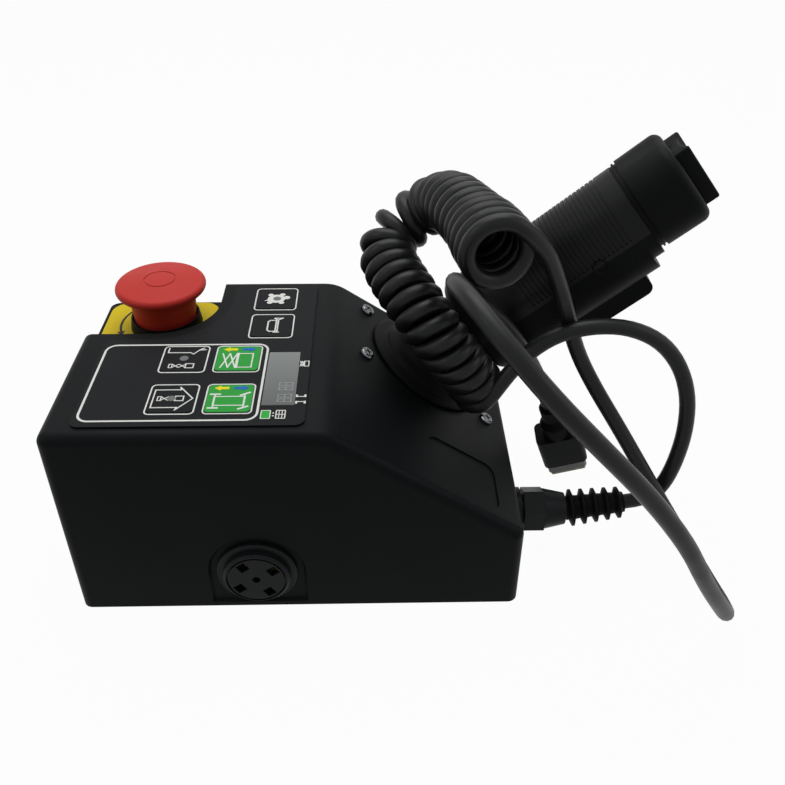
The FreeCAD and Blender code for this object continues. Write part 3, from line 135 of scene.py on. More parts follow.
# %% [markdown]
# A new piece is modelled in its own corner of space and then carried to its place with a matrix,
# so that its object can stay at the origin as the CAD pieces do.

# %% Helper that turns a bmesh into a piece


def piece(name, shape, place, body, slot, *materials):
    """An object from a bmesh in millimetres, carried to its place in the row frame."""
    bmesh.ops.transform(shape, matrix=Matrix.Scale(MM, 4) @ place, verts=shape.verts)
    mesh = bpy.data.meshes.new(name)
    shape.to_mesh(mesh)
    shape.free()
    thing = bpy.data.objects.new(name, mesh)
    bpy.context.scene.collection.objects.link(thing)
    for material in materials:
        mesh.materials.append(material)
    if body:
        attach(thing, body)
    print(name, len(mesh.polygons), "faces")
    return thing


# %% [markdown]
# ## Floor and light
# A control box is photographed on a pale paper sweep. The camera, and whatever mirrors the floor,
# sees it almost as bright as the page, with only a trace of shadow. To soft light it is a plain
# grey table, so that little comes up from below. The room round it is made in the same way.

# %% Build the floor and the room
FLOOR_HALF = 4.0
PAGE_SHARE = 0.97  # how far the page hides the floor's shadow
ROOM_LIGHT = 0.18


def seen_as_page(tree):
    """One for rays that show the page, straight, in a mirror or through glass, and nought for soft light."""
    path = add(tree, "LightPath")
    share = path.outputs["Is Camera Ray"]
    for ray in ("Is Transmission Ray", "Is Glossy Ray"):
        share = add(tree, "Math", {0: share, 1: path.outputs[ray]}, operation="MAXIMUM").outputs[0]
    return share


floor_mesh = bpy.data.meshes.new("floor")
sheet = bmesh.new()
bmesh.ops.create_grid(sheet, x_segments=1, y_segments=1, size=FLOOR_HALF)
sheet.to_mesh(floor_mesh)
sheet.free()
floor = bpy.data.objects.new("floor", floor_mesh)
bpy.context.scene.collection.objects.link(floor)

paper = bpy.data.materials.new("white_paper_sweep")
paper.use_nodes = True
tree = paper.node_tree
tree.nodes.clear()
share = add(tree, "Math", {0: seen_as_page(tree), 1: PAGE_SHARE}, operation="MULTIPLY")
matt = add(tree, "BsdfDiffuse", {"Color": linear("#b4b4b4")})
glow = add(tree, "Emission", {"Color": linear("#ffffff"), "Strength": 1.0})
mixed = add(tree, "MixShader", {0: share.outputs[0], 1: matt.outputs[0], 2: glow.outputs[0]})
add(tree, "OutputMaterial", {"Surface": mixed.outputs[0]})
floor_mesh.materials.append(paper)

world = bpy.data.worlds.new("studio")
bpy.context.scene.world = world
world.use_nodes = True
tree = world.node_tree
tree.nodes.clear()
room = add(tree, "Background", {"Color": linear("#ffffff"), "Strength": ROOM_LIGHT})
page = add(tree, "Background", {"Color": linear("#ffffff"), "Strength": 1.0})
mixed = add(tree, "MixShader", {0: seen_as_page(tree), 1: room.outputs[0], 2: page.outputs[0]})
add(tree, "OutputWorld", {"Surface": mixed.outputs[0]})
bpy.context.scene.view_settings.view_transform = "Standard"
print("floor", 2 * FLOOR_HALF, "m wide, room light", ROOM_LIGHT)

# %% [markdown]
# The photograph's light comes from above and a little behind, which leaves the near wall almost
# black. A wide lamp does that, and two weak ones at the sides draw the edges.

# %% Hang the lamps
# Each lamp: its place, the point it faces, its side in metres and its power in watts.
LAMPS = {
    "overhead": ((0.0, 0.3, 0.95), (0.03, 0.0, 0.05), 0.8, 7.5),
    "window": ((-0.8, -0.3, 0.8), (0.0, 0.0, 0.05), 0.5, 1.6),
    "fill": ((0.85, -0.2, 0.6), (0.05, 0.0, 0.06), 0.5, 1.2),
}
for name, (place, target, size, power) in LAMPS.items():
    lamp = bpy.data.objects.new(name, bpy.data.lights.new(name, "AREA"))
    lamp.data.size = size
    lamp.data.energy = power
    lamp.location = place
    lamp.rotation_euler = (Vector(target) - Vector(place)).to_track_quat("-Z", "Y").to_euler()
    bpy.context.scene.collection.objects.link(lamp)
print("lamps:", ", ".join(LAMPS))

# %% [markdown]
# ## The curly cord
# A control box like this hangs on a springy cable: a straight lead from the gland, a wound
# stretch that pulls out like a telephone cord, and a straight tail to the plug. It is one cable,
# so it is one curve. Its route is the one that the CAD tubes follow, with points moved by up to a
# centimetre to where the photograph shows the cord. The wound stretch reads a smooth line along its
# own points and winds turns round it.

# %% Write the route down
LEAD = [
    (149.07, -22.5, 23.76), (159.96, -22.5, 25.29), (166.5, -21.5, 33), (170.5, -19.5, 46), (172.5, -17, 62),
    (171, -14.5, 79), (165, -12.5, 94), (155, -11, 105.5), (141, -10.5, 112), (126, -10.5, 113),
    (111, -11.5, 110), (98.5, -13.5, 102), (90, -16.5, 92), (84, -18.5, 83),
]
COIL = [
    (80.5, -9.5, 79.5), (68.5, -11.5, 96.5), (58, -7.5, 110.5), (49.5, 3, 119), (42.5, 17, 123.5),
    (39, 29.5, 126.5), (41.5, 38, 130), (48, 42.5, 134.5), (55.5, 44, 140), (62, 40.5, 146),
    (67, 30, 151.5), (72, 13.5, 153), (78, -6, 153.5), (81.5, -26.5, 154.5),
]
TAIL = [
    (100, -20, 153), (105.5, -14.5, 140.5), (111.5, -9, 125), (117, -5, 109), (123, -2.5, 93), (132, -5, 77),
    (144, -14, 60), (157, -28, 41), (168.5, -41, 25), (178, -51, 12.5), (183, -60, 6.5), (185.5, -69, 5),
    (183, -78, 9.5), (176, -84, 21.5), (167, -90, 37), (158, -95.5, 53), (146, -101, 76), (127, -105, 103),
    (107, -107, 126), (89, -105, 145), (74, -93, 159), (64, -75, 165), (61, -54, 159), (66, -34, 146),
    (77, -17, 128), (91, -5, 108), (102.5, 1.5, 88.7), (111.8, 10.27, 67.81), (117.4, 14, 52.2),
]
CORD_DIAMETER = 7 * MM
COIL_READINGS, CORD_READINGS = 24, 4  # points read from each stretch between two route points


def smooth_curve(name, points, radius=0.0):
    """A NURBS curve with these points, in metres, as its control points, each with the tube's radius."""
    curve = bpy.data.curves.new(name, "CURVE")
    curve.dimensions = "3D"
    spline = curve.splines.new("NURBS")
    spline.points.add(len(points) - 1)
    for control, point in zip(spline.points, points):
        control.co = (*point, 1.0)
        control.radius = radius
    spline.order_u = 3
    spline.use_endpoint_u = True
    return curve


def read_line(name, points, steps):
    """Points along the smooth line of a route, read back from Blender."""
    curve = smooth_curve(name, points)
    curve.resolution_u = steps
    guide = bpy.data.objects.new(name, curve)
    mesh = bpy.data.meshes.new_from_object(guide)
    line = [vertex.co.copy() for vertex in mesh.vertices]
    bpy.data.objects.remove(guide)
    bpy.data.curves.remove(curve)
    bpy.data.meshes.remove(mesh)
    return line


coil_line = read_line("coil_route", [Vector(point) * MM for point in COIL], COIL_READINGS)
coil_length = sum((b - a).length for a, b in zip(coil_line, coil_line[1:]))
print("wound stretch", round(coil_length / MM), "mm long")

# %% [markdown]
# To wind the turns, a pair of side directions is carried along the line without twisting it, and
# a point circles round the line as it moves on. The lead's weight pulls the lower turns slim,
# and the slack upper ones are wide. Elsewhere the turns touch, but behind the bend, where the
# cord lets go of itself, a few stand open.

# %% Wind the turns
TURNS = 27.3
STEPS = 16  # points in each turn
# Shares of the wound stretch, each with the turns' radius there in millimetres.
TURN_RADII = [(0.0, 8.9), (0.4, 9.2), (0.62, 9.2), (0.74, 10.4), (0.82, 10.8), (0.92, 12.4), (1.0, 12.6)]
OPEN_MIDDLE, OPEN_WIDTH, OPEN_EXTRA = 0.53, 0.06, 0.75  # where turns stand open, and how far


def carried_sides(line):
    """Two side directions at each point of a line, turned as little as the line turns."""
    side = Vector((0, 1, 0))
    sides = []
    for index in range(len(line)):
        along = (line[min(index + 1, len(line) - 1)] - line[max(index - 1, 0)]).normalized()
        side = (side - along * side.dot(along)).normalized()
        sides.append((side.copy(), side.cross(along)))
    return sides


def swell(part, middle, width):
    """A soft hump of height one."""
    return math.exp(-((part - middle) / width) ** 2)


def turn_radius(part):
    """The helix's radius at a share of its length, eased from one given radius to the next."""
    for (a, low), (b, high) in zip(TURN_RADII, TURN_RADII[1:]):
        if part <= b:
            share = (part - a) / (b - a)
            return (low + (high - low) * share * share * (3 - 2 * share)) * MM
    return TURN_RADII[-1][1] * MM


def winding(line):
    """Points of a helix round a line, with open turns at the back bend."""
    sides = carried_sides(line)
    reach = [0.0]
    for a, b in zip(line, line[1:]):
        reach.append(reach[-1] + (b - a).length)
    count = int(TURNS * STEPS)
    spread = [0.0]
    for step in range(count):
        spread.append(spread[-1] + 1 + OPEN_EXTRA * swell((step + 0.5) / count, OPEN_MIDDLE, OPEN_WIDTH))
    turns = []
    for step in range(count + 1):
        wanted = spread[step] / spread[-1] * reach[-1]
        index = next(i for i in range(1, len(reach)) if reach[i] >= wanted - 1e-9)
        mix = (wanted - reach[index - 1]) / (reach[index] - reach[index - 1])
        centre = line[index - 1].lerp(line[index], mix)
        first, second = sides[index]
        angle = math.pi + step * 2 * math.pi / STEPS
        radius = turn_radius(step / count) / math.cos(math.pi / STEPS)
        turns.append(centre + (first * math.cos(angle) + second * math.sin(angle)) * radius)
    return turns


turns = winding(coil_line)
cord_points = [Vector(p) * MM for p in LEAD] + turns + [Vector(p) * MM for p in TAIL]
cord_curve = smooth_curve("curly_cord", cord_points, CORD_DIAMETER / 2)
cord_curve.resolution_u = CORD_READINGS
cord_curve.bevel_depth = 1.0  # times each point's own radius
cord_curve.bevel_resolution = 4
cord_curve.use_fill_caps = True
cord = bpy.data.objects.new("curly_cord", cord_curve)
bpy.context.scene.collection.objects.link(cord)
cord_line = read_line("cord_check", cord_points, CORD_READINGS)

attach(cord, "box")
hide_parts("cord_lead", "cord_coil", "cord_tail")

# %% [markdown]
# ## Finishes of the black pieces
# Nearly all of the box is black, so the eye tells its pieces apart by their surface alone. The
# case is ABS from a spark-eroded mould, which leaves a fine even grain and a soft gloss. The
# handle's hard pieces are nylon with a duller skin, the palm half and the boot are rubber, and
# the cord has a smooth PVC jacket. All share one recipe: a grain that lifts the surface and larger
# patches, from handling, that change its gloss.

# %% One recipe for moulded surfaces
GRAIN_HEIGHT = 0.06  # millimetres
NOISE_LOW, NOISE_HIGH = 0.3, 0.7  # nearly all of a noise lies between these


def moulded(name, colour, grain, lift, gloss, patch, gleam=0.12):
    """A moulded surface: grain size and patch size in millimetres, gloss as a range of roughness."""
    material, tree, shader = finish(name, colour, gloss[0], **{"Specular IOR Level": gleam})
    place = add(tree, "TexCoord").outputs["Object"]
    specks = add(tree, "TexNoise", {"Vector": place, "Scale": 1 / (2 * grain * MM), "Detail": 2.0})
    bump = add(tree, "Bump", {"Height": specks.outputs["Fac"], "Strength": lift,
                              "Distance": GRAIN_HEIGHT * MM})
    tree.links.new(bump.outputs["Normal"], shader.inputs["Normal"])
    clouds = add(tree, "TexNoise", {"Vector": place, "Scale": 1 / (patch * MM), "Detail": 4.0})
    worn = add(tree, "MapRange", {"Value": clouds.outputs["Fac"],
                                  "From Min": NOISE_LOW, "From Max": NOISE_HIGH,
                                  "To Min": gloss[0], "To Max": gloss[1]})
    tree.links.new(worn.outputs["Result"], shader.inputs["Roughness"])
    return material


# %% Black pieces
# Spark-eroded ABS: the grain is drawn at half a millimetre, a little coarser than life, to show.
abs_black = moulded("moulded_abs_black", "#0d0f10", 0.5, 0.14, (0.4, 0.52), 45, gleam=0.05)
dress(abs_black, "case", "base_plate", "connector_body")
# Acetal, for pieces with threads: greyer than the case, with a waxy shine.
acetal = moulded("turned_black_acetal", "#17191a", 0.4, 0.1, (0.36, 0.46), 20, gleam=0.1)
dress(acetal, "sounder_housing", "sounder_face", "gland_body", "gland_nut")
# Glass-filled nylon: harder and a shade duller than the case.
nylon_black = moulded("glass_filled_nylon", "#0f1011", 0.35, 0.16, (0.44, 0.56), 30, gleam=0.05)
dress(nylon_black, "grip_front", "head_ring", "handle_head", "enable_trigger", "estop_lock_nut",
      "estop_plunger", "estop_contact_block", "key_switches", "wire_header", "sounder_nut",
      "gland_locknut", "trigger_switch")
# Soft rubber: matt, with the faint bloom that handling leaves.
rubber = moulded("black_rubber", "#0f0f10", 0.7, 0.12, (0.52, 0.68), 25, gleam=0.06)
dress(rubber, "gland_flex", "gland_seal", "base_gasket", "connector_backshell")
# The palm's elastomer is polished by hands, so its ribs catch the light.
palm = moulded("polished_elastomer", "#101111", 0.7, 0.08, (0.36, 0.48), 20)
dress(palm, "grip_rear")
# Extruded PVC jacket: smooth, with a satin shine.
jacket = moulded("extruded_pvc_jacket", "#161717", 1.5, 0.05, (0.34, 0.46), 12, gleam=0.18)
cord_curve.materials.append(jacket)

# %% [markdown]
# ## Finishes of the coloured pieces
# The stop's cap is red ABS, its plate a yellow printed sheet. The keys are windows in one
# polyester film whose back is printed, so their colours lie under a satin skin. The display is a
# grey liquid crystal panel whose colour carries painted light: lighter at its far end, where it
# faces the light, and painted shade at its near end.

# %% Coloured pieces
DISPLAY_NEAR, DISPLAY_FAR = -42, -4  # the window's ends across the box, in millimetres

# Red ABS: one strong colour all through, with a satin skin that shows the dome's curve.
red = moulded("stop_red_abs", "#b5302a", 0.4, 0.06, (0.42, 0.52), 18)
# Yellow printed sheet: flat and bright under a thin lacquer.
yellow = moulded("printed_yellow_sheet", "#d0b916", 0.6, 0.06, (0.4, 0.52), 15)
dress(yellow, "estop_legend_plate")
# Black polyester film: smoother and a shade greyer than the case, so the panel stands out.
film = moulded("printed_black_film", "#151618", 0.3, 0.12, (0.4, 0.5), 35, gleam=0.05)
dress(film, "panel_overlay", "key_indoor", "key_outdoor", "key_horn", "key_slow")
# The same film over green ink: the two keys that the hand looks for.
green = moulded("printed_green_film", "#259233", 0.3, 0.1, (0.4, 0.5), 20)
dress(green, "key_drive", "key_lift")

# Liquid crystal behind a clear window: grey and glossy, with painted shade darkening it towards its near end.
crystal, tree, shader = finish("liquid_crystal_panel", "#6e7271", 0.24, **{"Specular IOR Level": 0.3})
place = add(tree, "TexCoord")
axes = add(tree, "SeparateXYZ", {"Vector": place.outputs["Object"]})
# Painted light and shade: the colour ramps from dark at the near end to light at the far end.
painted_light_fade = add(tree, "ValToRGB", {"Fac": add(tree, "MapRange", {
    "Value": axes.outputs["Y"], "From Min": DISPLAY_NEAR * MM, "From Max": DISPLAY_FAR * MM,
}).outputs["Result"]})
painted_light_fade.color_ramp.elements[0].color = linear("#555958")
painted_light_fade.color_ramp.elements[1].color = linear("#7b7f7e")
tree.links.new(painted_light_fade.outputs["Color"], shader.inputs["Base Color"])
dress(crystal, "lcd_window", "lcd_module")

# %% [markdown]
# ## Metals
# Screws and pins are turned steel, the joystick's four screws chromed. Turning leaves fine rings,
# drawn as noise that is squeezed along one axis. The plug has a pale plastic band and a cream
# insert that holds its contacts. The board and the sounder's brass disc lie inside, where only an
# open case would show them.

# %% Metals, the plug's pale pieces and the inside
RING_LENGTH, RING_PITCH = 50 / 3, 2 / 3  # millimetres
SMEAR = 2  # millimetres

# Turned steel: grey, with rings that break its gloss.
steel, tree, shader = finish("turned_steel", "#a9aaac", 0.35, Metallic=1.0)
place = add(tree, "TexCoord")
rings = add(tree, "Mapping", {"Vector": place.outputs["Object"], "Scale": (
    1 / (RING_LENGTH * MM), 1 / (RING_LENGTH * MM), 1 / (RING_PITCH * MM))})
lines = add(tree, "TexNoise", {"Vector": rings.outputs["Vector"], "Scale": 1.0, "Detail": 3.0})
gloss = add(tree, "MapRange", {"Value": lines.outputs["Fac"], "To Min": 0.26, "To Max": 0.46})
tree.links.new(gloss.outputs["Result"], shader.inputs["Roughness"])
dress(steel, "base_screws", "board_screws", "joystick_carrier", "joystick_pin", "joystick_shaft",
      "rocker_pin", "trigger_pin")
# Chrome with painted shade: its colour is darkened to stand for the dark surroundings it
# mirrors, with sharp glints where it mirrors the page.
chrome, tree, shader = finish("chrome_with_painted_shade", "#626366", 0.14, Metallic=1.0)
place = add(tree, "TexCoord")
smears = add(tree, "TexNoise", {"Vector": place.outputs["Object"], "Scale": 1 / (SMEAR * MM), "Detail": 3.0})
gloss = add(tree, "MapRange", {"Value": smears.outputs["Fac"], "To Min": 0.08, "To Max": 0.24})
tree.links.new(gloss.outputs["Result"], shader.inputs["Roughness"])
# Pale PBT: a hard, even plastic that marks the plug's end.
band = moulded("pale_grey_pbt", "#9c9c9a", 0.3, 0.06, (0.36, 0.46), 10)
dress(band, "connector_shell")
# Undyed nylon: warm and slightly waxy.
cream = moulded("cream_nylon_insert", "#cfc4ae", 0.3, 0.06, (0.4, 0.5), 8)
dress(cream, "connector_insert")
# Solder mask: a glossy green lacquer.
board = moulded("green_solder_mask", "#1c4a2a", 0.4, 0.05, (0.3, 0.42), 20)
dress(board, "control_board")
# Rolled brass: a yellow metal with soft cloudy gloss.
brass = moulded("rolled_brass", "#b08d45", 0.3, 0.05, (0.28, 0.42), 6)
brass.node_tree.nodes["Principled BSDF"].inputs["Metallic"].default_value = 1.0
dress(brass, "sounder_piezo")

# %% [markdown]
# ## The stop's cap and collar
# In the photograph the red cap's neck runs almost down to the plate, inside a low black collar.
# Both are turned shapes, so each is one profile, spun round the stop's axis: the cap's flat dome
# with its ring groove, its round rim and the hollow neck, then the collar with the threaded
# barrel that goes through the case.

# %% Helpers for spun and round shapes
WELD = 0.005  # millimetres


def spun(profile, steps):
    """A closed profile of radii and heights in millimetres, spun round the upright axis."""
    shape = bmesh.new()
    knots = [shape.verts.new((r, 0, z)) for r, z in profile]
    for a, b in zip(knots, knots[1:] + knots[:1]):
        shape.edges.new((a, b))
    bmesh.ops.spin(shape, geom=shape.verts[:] + shape.edges[:], cent=(0, 0, 0), axis=(0, 0, 1),
                   angle=2 * math.pi, steps=steps, use_merge=True)
    bmesh.ops.remove_doubles(shape, verts=shape.verts, dist=WELD)
    bmesh.ops.dissolve_degenerate(shape, edges=shape.edges, dist=WELD)
    bmesh.ops.delete(shape, geom=[edge for edge in shape.edges if edge.is_wire], context="EDGES")
    bmesh.ops.recalc_face_normals(shape, faces=shape.faces)
    for face in shape.faces:
        face.smooth = True
    return shape


def arc(radius, degrees):
    """Points of a circle round the origin."""
    return [(radius * math.cos(a), radius * math.sin(a)) for a in map(math.radians, degrees)]


# %% Spin the cap and the collar
STOP_SEAT = (-65.5, 40.0, 85.0)
STOP_STEPS = 64
STOP_SHARP = math.radians(40)
CAP_TOP, DOME_RADIUS = 24.1, 116.0
GROOVE_INNER, GROOVE_OUTER, GROOVE_DEPTH = 6.8, 7.4, 0.35
RIM_REACH, RIM_HEIGHT, RIM_RADIUS = 18.6, 20.4, 2.2
NECK_TOP, NECK_BOTTOM, NECK_BORE = 15.5, 4.3, 12.2
STEM_RADIUS, STEM_SEAT = 6.2, 19.4
COLLAR_HEIGHT, COLLAR_FLOOR, COLLAR_BORE = 5.0, 0.15, 15.2
BARREL_RADIUS, BARREL_END = 11, -30


def on_dome(radius):
    """The profile's point on the dome at a radius."""
    return (radius, CAP_TOP - DOME_RADIUS + math.sqrt(DOME_RADIUS ** 2 - radius ** 2))


cap = [on_dome(r) for r in (0, GROOVE_INNER / 2, GROOVE_INNER)]
groove_floor = cap[-1][1] - GROOVE_DEPTH
cap += [(GROOVE_INNER, groove_floor), (GROOVE_OUTER, groove_floor)]
cap += [on_dome(r) for r in (GROOVE_OUTER, 11, 15)]
cap += [(RIM_REACH + x, RIM_HEIGHT + z) for x, z in arc(RIM_RADIUS, range(90, -91, -15))]
cap += [(17.2, 17.9), (16.0, 17.0), (15.3, NECK_TOP), (14.4, NECK_BOTTOM)]
cap += [(NECK_BORE, NECK_BOTTOM), (NECK_BORE, NECK_TOP), (STEM_RADIUS, NECK_TOP)]
cap += [(STEM_RADIUS, STEM_SEAT), (0, STEM_SEAT)]
stop_place = Matrix.Translation(STOP_SEAT)
stop_cap = piece("stop_cap", spun(cap, STOP_STEPS), stop_place, "stop_mushroom", "stop_red", red)
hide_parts("estop_mushroom")

collar = [(STEM_RADIUS, BARREL_END), (BARREL_RADIUS, BARREL_END), (BARREL_RADIUS, 0), (16.8, 0)]
collar += [(16.0, COLLAR_HEIGHT), (COLLAR_BORE, COLLAR_HEIGHT), (COLLAR_BORE, COLLAR_FLOOR)]
collar += [(STEM_RADIUS, COLLAR_FLOOR)]
stop_collar = piece("stop_collar", spun(collar, STOP_STEPS), stop_place, "box", "case_plastic", abs_black)
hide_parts("estop_body")
for turned in (stop_cap, stop_collar):
    turned.data.set_sharp_from_angle(angle=STOP_SHARP)

# %% [markdown]
# ## Places on the joystick
# The joystick stands square on the case's slope, and its handle leans further over. Two matrices
# hold these places, so that the pieces below can be drawn upright, as they would lie on a bench.

# %% Frames of the slope and the handle
SLOPE_DROP, SLOPE_RUN = 55, 81.4
RIDGE = (15.1, 29, 96)  # where the slope starts, in line with the joystick
DOWN_SLOPE = 52
HANDLE_RISE, HANDLE_LEAN = 24, math.radians(16.5)
tipped = Matrix.Rotation(math.atan2(SLOPE_DROP, SLOPE_RUN), 4, "Y")
slope_place = Matrix.Translation(RIDGE) @ tipped @ Matrix.Translation((DOWN_SLOPE, 0, 0))
handle_place = slope_place @ Matrix.Translation((0, 0, HANDLE_RISE)) @ Matrix.Rotation(HANDLE_LEAN, 4, "Y")
print("handle starts at", [round(c, 1) for c in handle_place.translation], "mm")

# %% [markdown]
# ## The joystick's boot
# Rubber bellows close the gap between the slope and the moving shaft. They could be a stack of
# rings, but a moulded boot is one skin, so one profile, out along the folds and back along the
# inside, is spun round the slope's normal and then rounded by subdivision.

# %% Spin the boot
WALL, WALL_UP = 1.5, 0.9  # the skin's thickness sideways and upwards
NECK_HOLE = 5.5
BOOT_STEPS = 48
BOOT_FOLDS = [(24.6, 4.6), (19.4, 7.5), (21.2, 10.0), (16.2, 12.8), (17.8, 15.3), (12.9, 18.2), (14.4, 20.3)]
skin = [(30.8, 0.2), (30.8, 1.9), (26, 2.1), (23.6, 2.4)] + BOOT_FOLDS + [(9.6, 21.6), (9.4, 23.4)]
lining = [(max(r - WALL, NECK_HOLE), max(z - WALL_UP, 0.2)) for r, z in BOOT_FOLDS[::-1]]
profile = skin + [(NECK_HOLE, 23.4), (NECK_HOLE, 21.4)] + lining + [(23.4, 0.2)]
boot = piece("bellows_boot", spun(profile, BOOT_STEPS), slope_place, None, "rubber_black", rubber)
round_off = boot.modifiers.new("round_off", "SUBSURF")
round_off.levels = round_off.render_levels = 1
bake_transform(boot)
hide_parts("joystick_boot")

# %% [markdown]
# ## Cross-recessed screws
# Four chromed pan-head screws hold the joystick's carrier under the slope. The head is a few
# rings, each drawn from the last by extruding its edge. The cross starts as a twelve-cornered
# face in the middle of the top ring and is pushed down with tapering sides, as the punch does.

# %% Model one screw and set four of them
HEAD_RADIUS, HEAD_HEIGHT = 3.4, 2.0
FLAT_RADIUS = 2.25
CROSS_ARM, CROSS_HALF = 1.9, 0.42
CROSS_DEPTH, CROSS_TAPER = 1.1, 0.62
# Rings outwards from the flat: how much wider each is than the last, and how much lower.
HEAD_RINGS = [
    (1.2, 0.12), (1.16, 0.35), (HEAD_RADIUS / FLAT_RADIUS / 1.2 / 1.16, 0.7), (1.0, 0.83), (0.5, 0.0),
]
# Places along and across the slope, and how far each screw happens to be turned.
SCREW_PLACES = [(-34, -19, 20), (-34, 19, 55), (34, -19, 10), (34, 19, 70)]


def cross_corners():
    """The twelve corners of the cross, a quarter at a time."""
    for turn in range(4):
        for corner in ((CROSS_ARM, -CROSS_HALF), (CROSS_ARM, CROSS_HALF), (CROSS_HALF, CROSS_HALF)):
            yield Matrix.Rotation(turn * math.pi / 2, 2) @ Vector(corner)


def ring_from(shape, edges, scale, drop):
    """A new ring of faces from the outermost edges, scaled and lowered."""
    grown = bmesh.ops.extrude_edge_only(shape, edges=edges)["geom"]
    ring = [v for v in grown if isinstance(v, bmesh.types.BMVert)]
    for vert in ring:
        vert.co.x *= scale
        vert.co.y *= scale
        vert.co.z -= drop
    return [e for e in grown if isinstance(e, bmesh.types.BMEdge) and all(v in ring for v in e.verts)]


def screw_head(shape, place):
    """One head with its cross, added to a shape."""
    before = set(shape.verts)
    cross = shape.faces.new([shape.verts.new((c.x, c.y, HEAD_HEIGHT)) for c in cross_corners()])
    rim = ring_from(shape, cross.edges[:], 1.0, 0.0)
    for vert in {v for e in rim for v in e.verts}:
        vert.co.x, vert.co.y = Vector((vert.co.x, vert.co.y)).normalized() * FLAT_RADIUS
    for scale, drop in HEAD_RINGS:
        rim = ring_from(shape, rim, scale, drop)
    bmesh.ops.holes_fill(shape, edges=rim)
    sunk = bmesh.ops.extrude_face_region(shape, geom=[cross])["geom"]
    for vert in (v for v in sunk if isinstance(v, bmesh.types.BMVert)):
        vert.co.x *= CROSS_TAPER
        vert.co.y *= CROSS_TAPER
        vert.co.z -= CROSS_DEPTH
    bmesh.ops.delete(shape, geom=[cross], context="FACES_ONLY")
    made = [v for v in shape.verts if v not in before]
    bmesh.ops.transform(shape, matrix=place, verts=made)


screws = bmesh.new()
for along, across, turn in SCREW_PLACES:
    screw_head(screws, Matrix.Translation((along, across, 0)) @ Matrix.Rotation(math.radians(turn), 4, "Z"))
bmesh.ops.recalc_face_normals(screws, faces=screws.faces)
screw_set = piece("cross_recessed_screws", screws, slope_place, "box", "screw_chrome", chrome)
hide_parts("joystick_screws")

# %% [markdown]
# ## Printed signs
# Film and keys carry line signs in white, with yellow and blue arrows on the green pair. On the
# real film they are screen ink. Here each line is a flat bar and each filled sign a flat patch,
# given a thickness of a few hundredths of a millimetre at the end, so that they survive in any
# renderer. An image would be quicker to lay on, but it blurs when a camera comes close.
# The signs are plain ones of this trade's kind: a house, the open air, a chassis, a lift, a horn
# and a slow animal. They are read from the right-hand end of the box.

# %% Mix the inks
# Screen inks: even, slightly chalky colours. The ghost is a display segment that isn't lit.
INKS = {
    "white": "#d9dad6", "yellow": "#e3d21e", "blue": "#1f62b4", "grey": "#6a6c6c", "green": "#2aa03a",
    "black": "#17181a", "ghost": "#8b8f8e",
}
INK_ORDER = list(INKS)
ink_materials = [moulded("ink_" + name, colour, 0.4, 0.03, (0.42, 0.52), 10) for name, colour in INKS.items()]
print("inks:", ", ".join(INKS))

# %% Drawing helpers
INK_THICKNESS = 0.06
STROKE_RISE = 0.004


def tint(ink, verts, colour):
    """Colour a stroke and lift it a hair above the last, so that crossing strokes don't share a plane."""
    level = max(vert.co.z for vert in ink.verts) + STROKE_RISE
    for vert in verts:
        vert.co.z = level
    for face in {f for v in verts for f in v.link_faces}:
        face.material_index = INK_ORDER.index(colour)
        if face.normal.z < 0:
            face.normal_flip()


def bar(ink, a, b, width, colour="white"):
    """A straight printed line with square ends."""
    a, b = Vector(a), Vector(b)
    way = b - a
    spot = Matrix.Translation(((a + b) / 2).to_3d()) @ Matrix.Rotation(math.atan2(way.y, way.x), 4, "Z")
    stretch = Matrix.Diagonal((way.length + width, width, 1, 1))
    corners = bmesh.ops.create_grid(ink, x_segments=1, y_segments=1, size=0.5, matrix=spot @ stretch)["verts"]
    tint(ink, corners, colour)


def line(ink, points, width, colour="white", closed=False):
    """A printed line from point to point."""
    ends = points[1:] + points[:1] if closed else points[1:]
    for a, b in zip(points, ends):
        bar(ink, a, b, width, colour)


def patch(ink, points, colour="white"):
    """A filled shape."""
    corners = [ink.verts.new((x, y, 0)) for x, y in points]
    ink.faces.new(corners).normal_update()
    tint(ink, corners, colour)


def dot(ink, x, y, radius, colour="white", squeeze=1.0):
    """A filled circle, or an oval where it is squeezed."""
    spot = Matrix.Translation((x, y, 0)) @ Matrix.Diagonal((1, squeeze, 1, 1))
    disc = bmesh.ops.create_circle(ink, cap_ends=True, segments=24, radius=radius, matrix=spot)["verts"]
    disc[0].link_faces[0].normal_update()
    tint(ink, disc, colour)


def border(ink, x, y, width, height, corner, weight, colour="white"):
    """A line round a rectangle with round corners."""
    spot = Matrix.Translation((x, y, 0)) @ Matrix.Diagonal((width, height, 1, 1))
    corners = bmesh.ops.create_grid(ink, x_segments=1, y_segments=1, size=0.5, matrix=spot)["verts"]
    inner = corners[0].link_faces[0]
    old = set(ink.faces) - {inner}
    bmesh.ops.bevel(ink, geom=corners, offset=corner, offset_type="OFFSET", segments=6, profile=0.5,
                    affect="VERTICES", material=-1)
    inner = max((f for f in ink.faces if f not in old), key=lambda f: f.calc_area())
    bmesh.ops.inset_region(ink, faces=[inner], thickness=weight, use_boundary=True, use_even_offset=True)
    bmesh.ops.delete(ink, geom=[inner], context="FACES_ONLY")
    tint(ink, {v for f in ink.faces if f not in old for v in f.verts}, colour)


def printed(name, ink, place, body, slot, scale=1.0):
    """Give flat signs the thickness of ink and lay them on a surface, their tops just proud of it."""
    bmesh.ops.scale(ink, vec=(scale, scale, 1), verts=ink.verts)
    lowest = min(vert.co.z for vert in ink.verts)
    bmesh.ops.solidify(ink, geom=ink.faces[:], thickness=INK_THICKNESS)
    lift = Matrix.Translation((0, 0, INK_THICKNESS / 2 - lowest))
    return piece(name, ink, Matrix.Translation(place) @ lift, body, slot, *ink_materials)


# %% [markdown]
# The six keys come first. Each sign is drawn about its key's middle, in millimetres, with the
# film's right-hand end as its top.

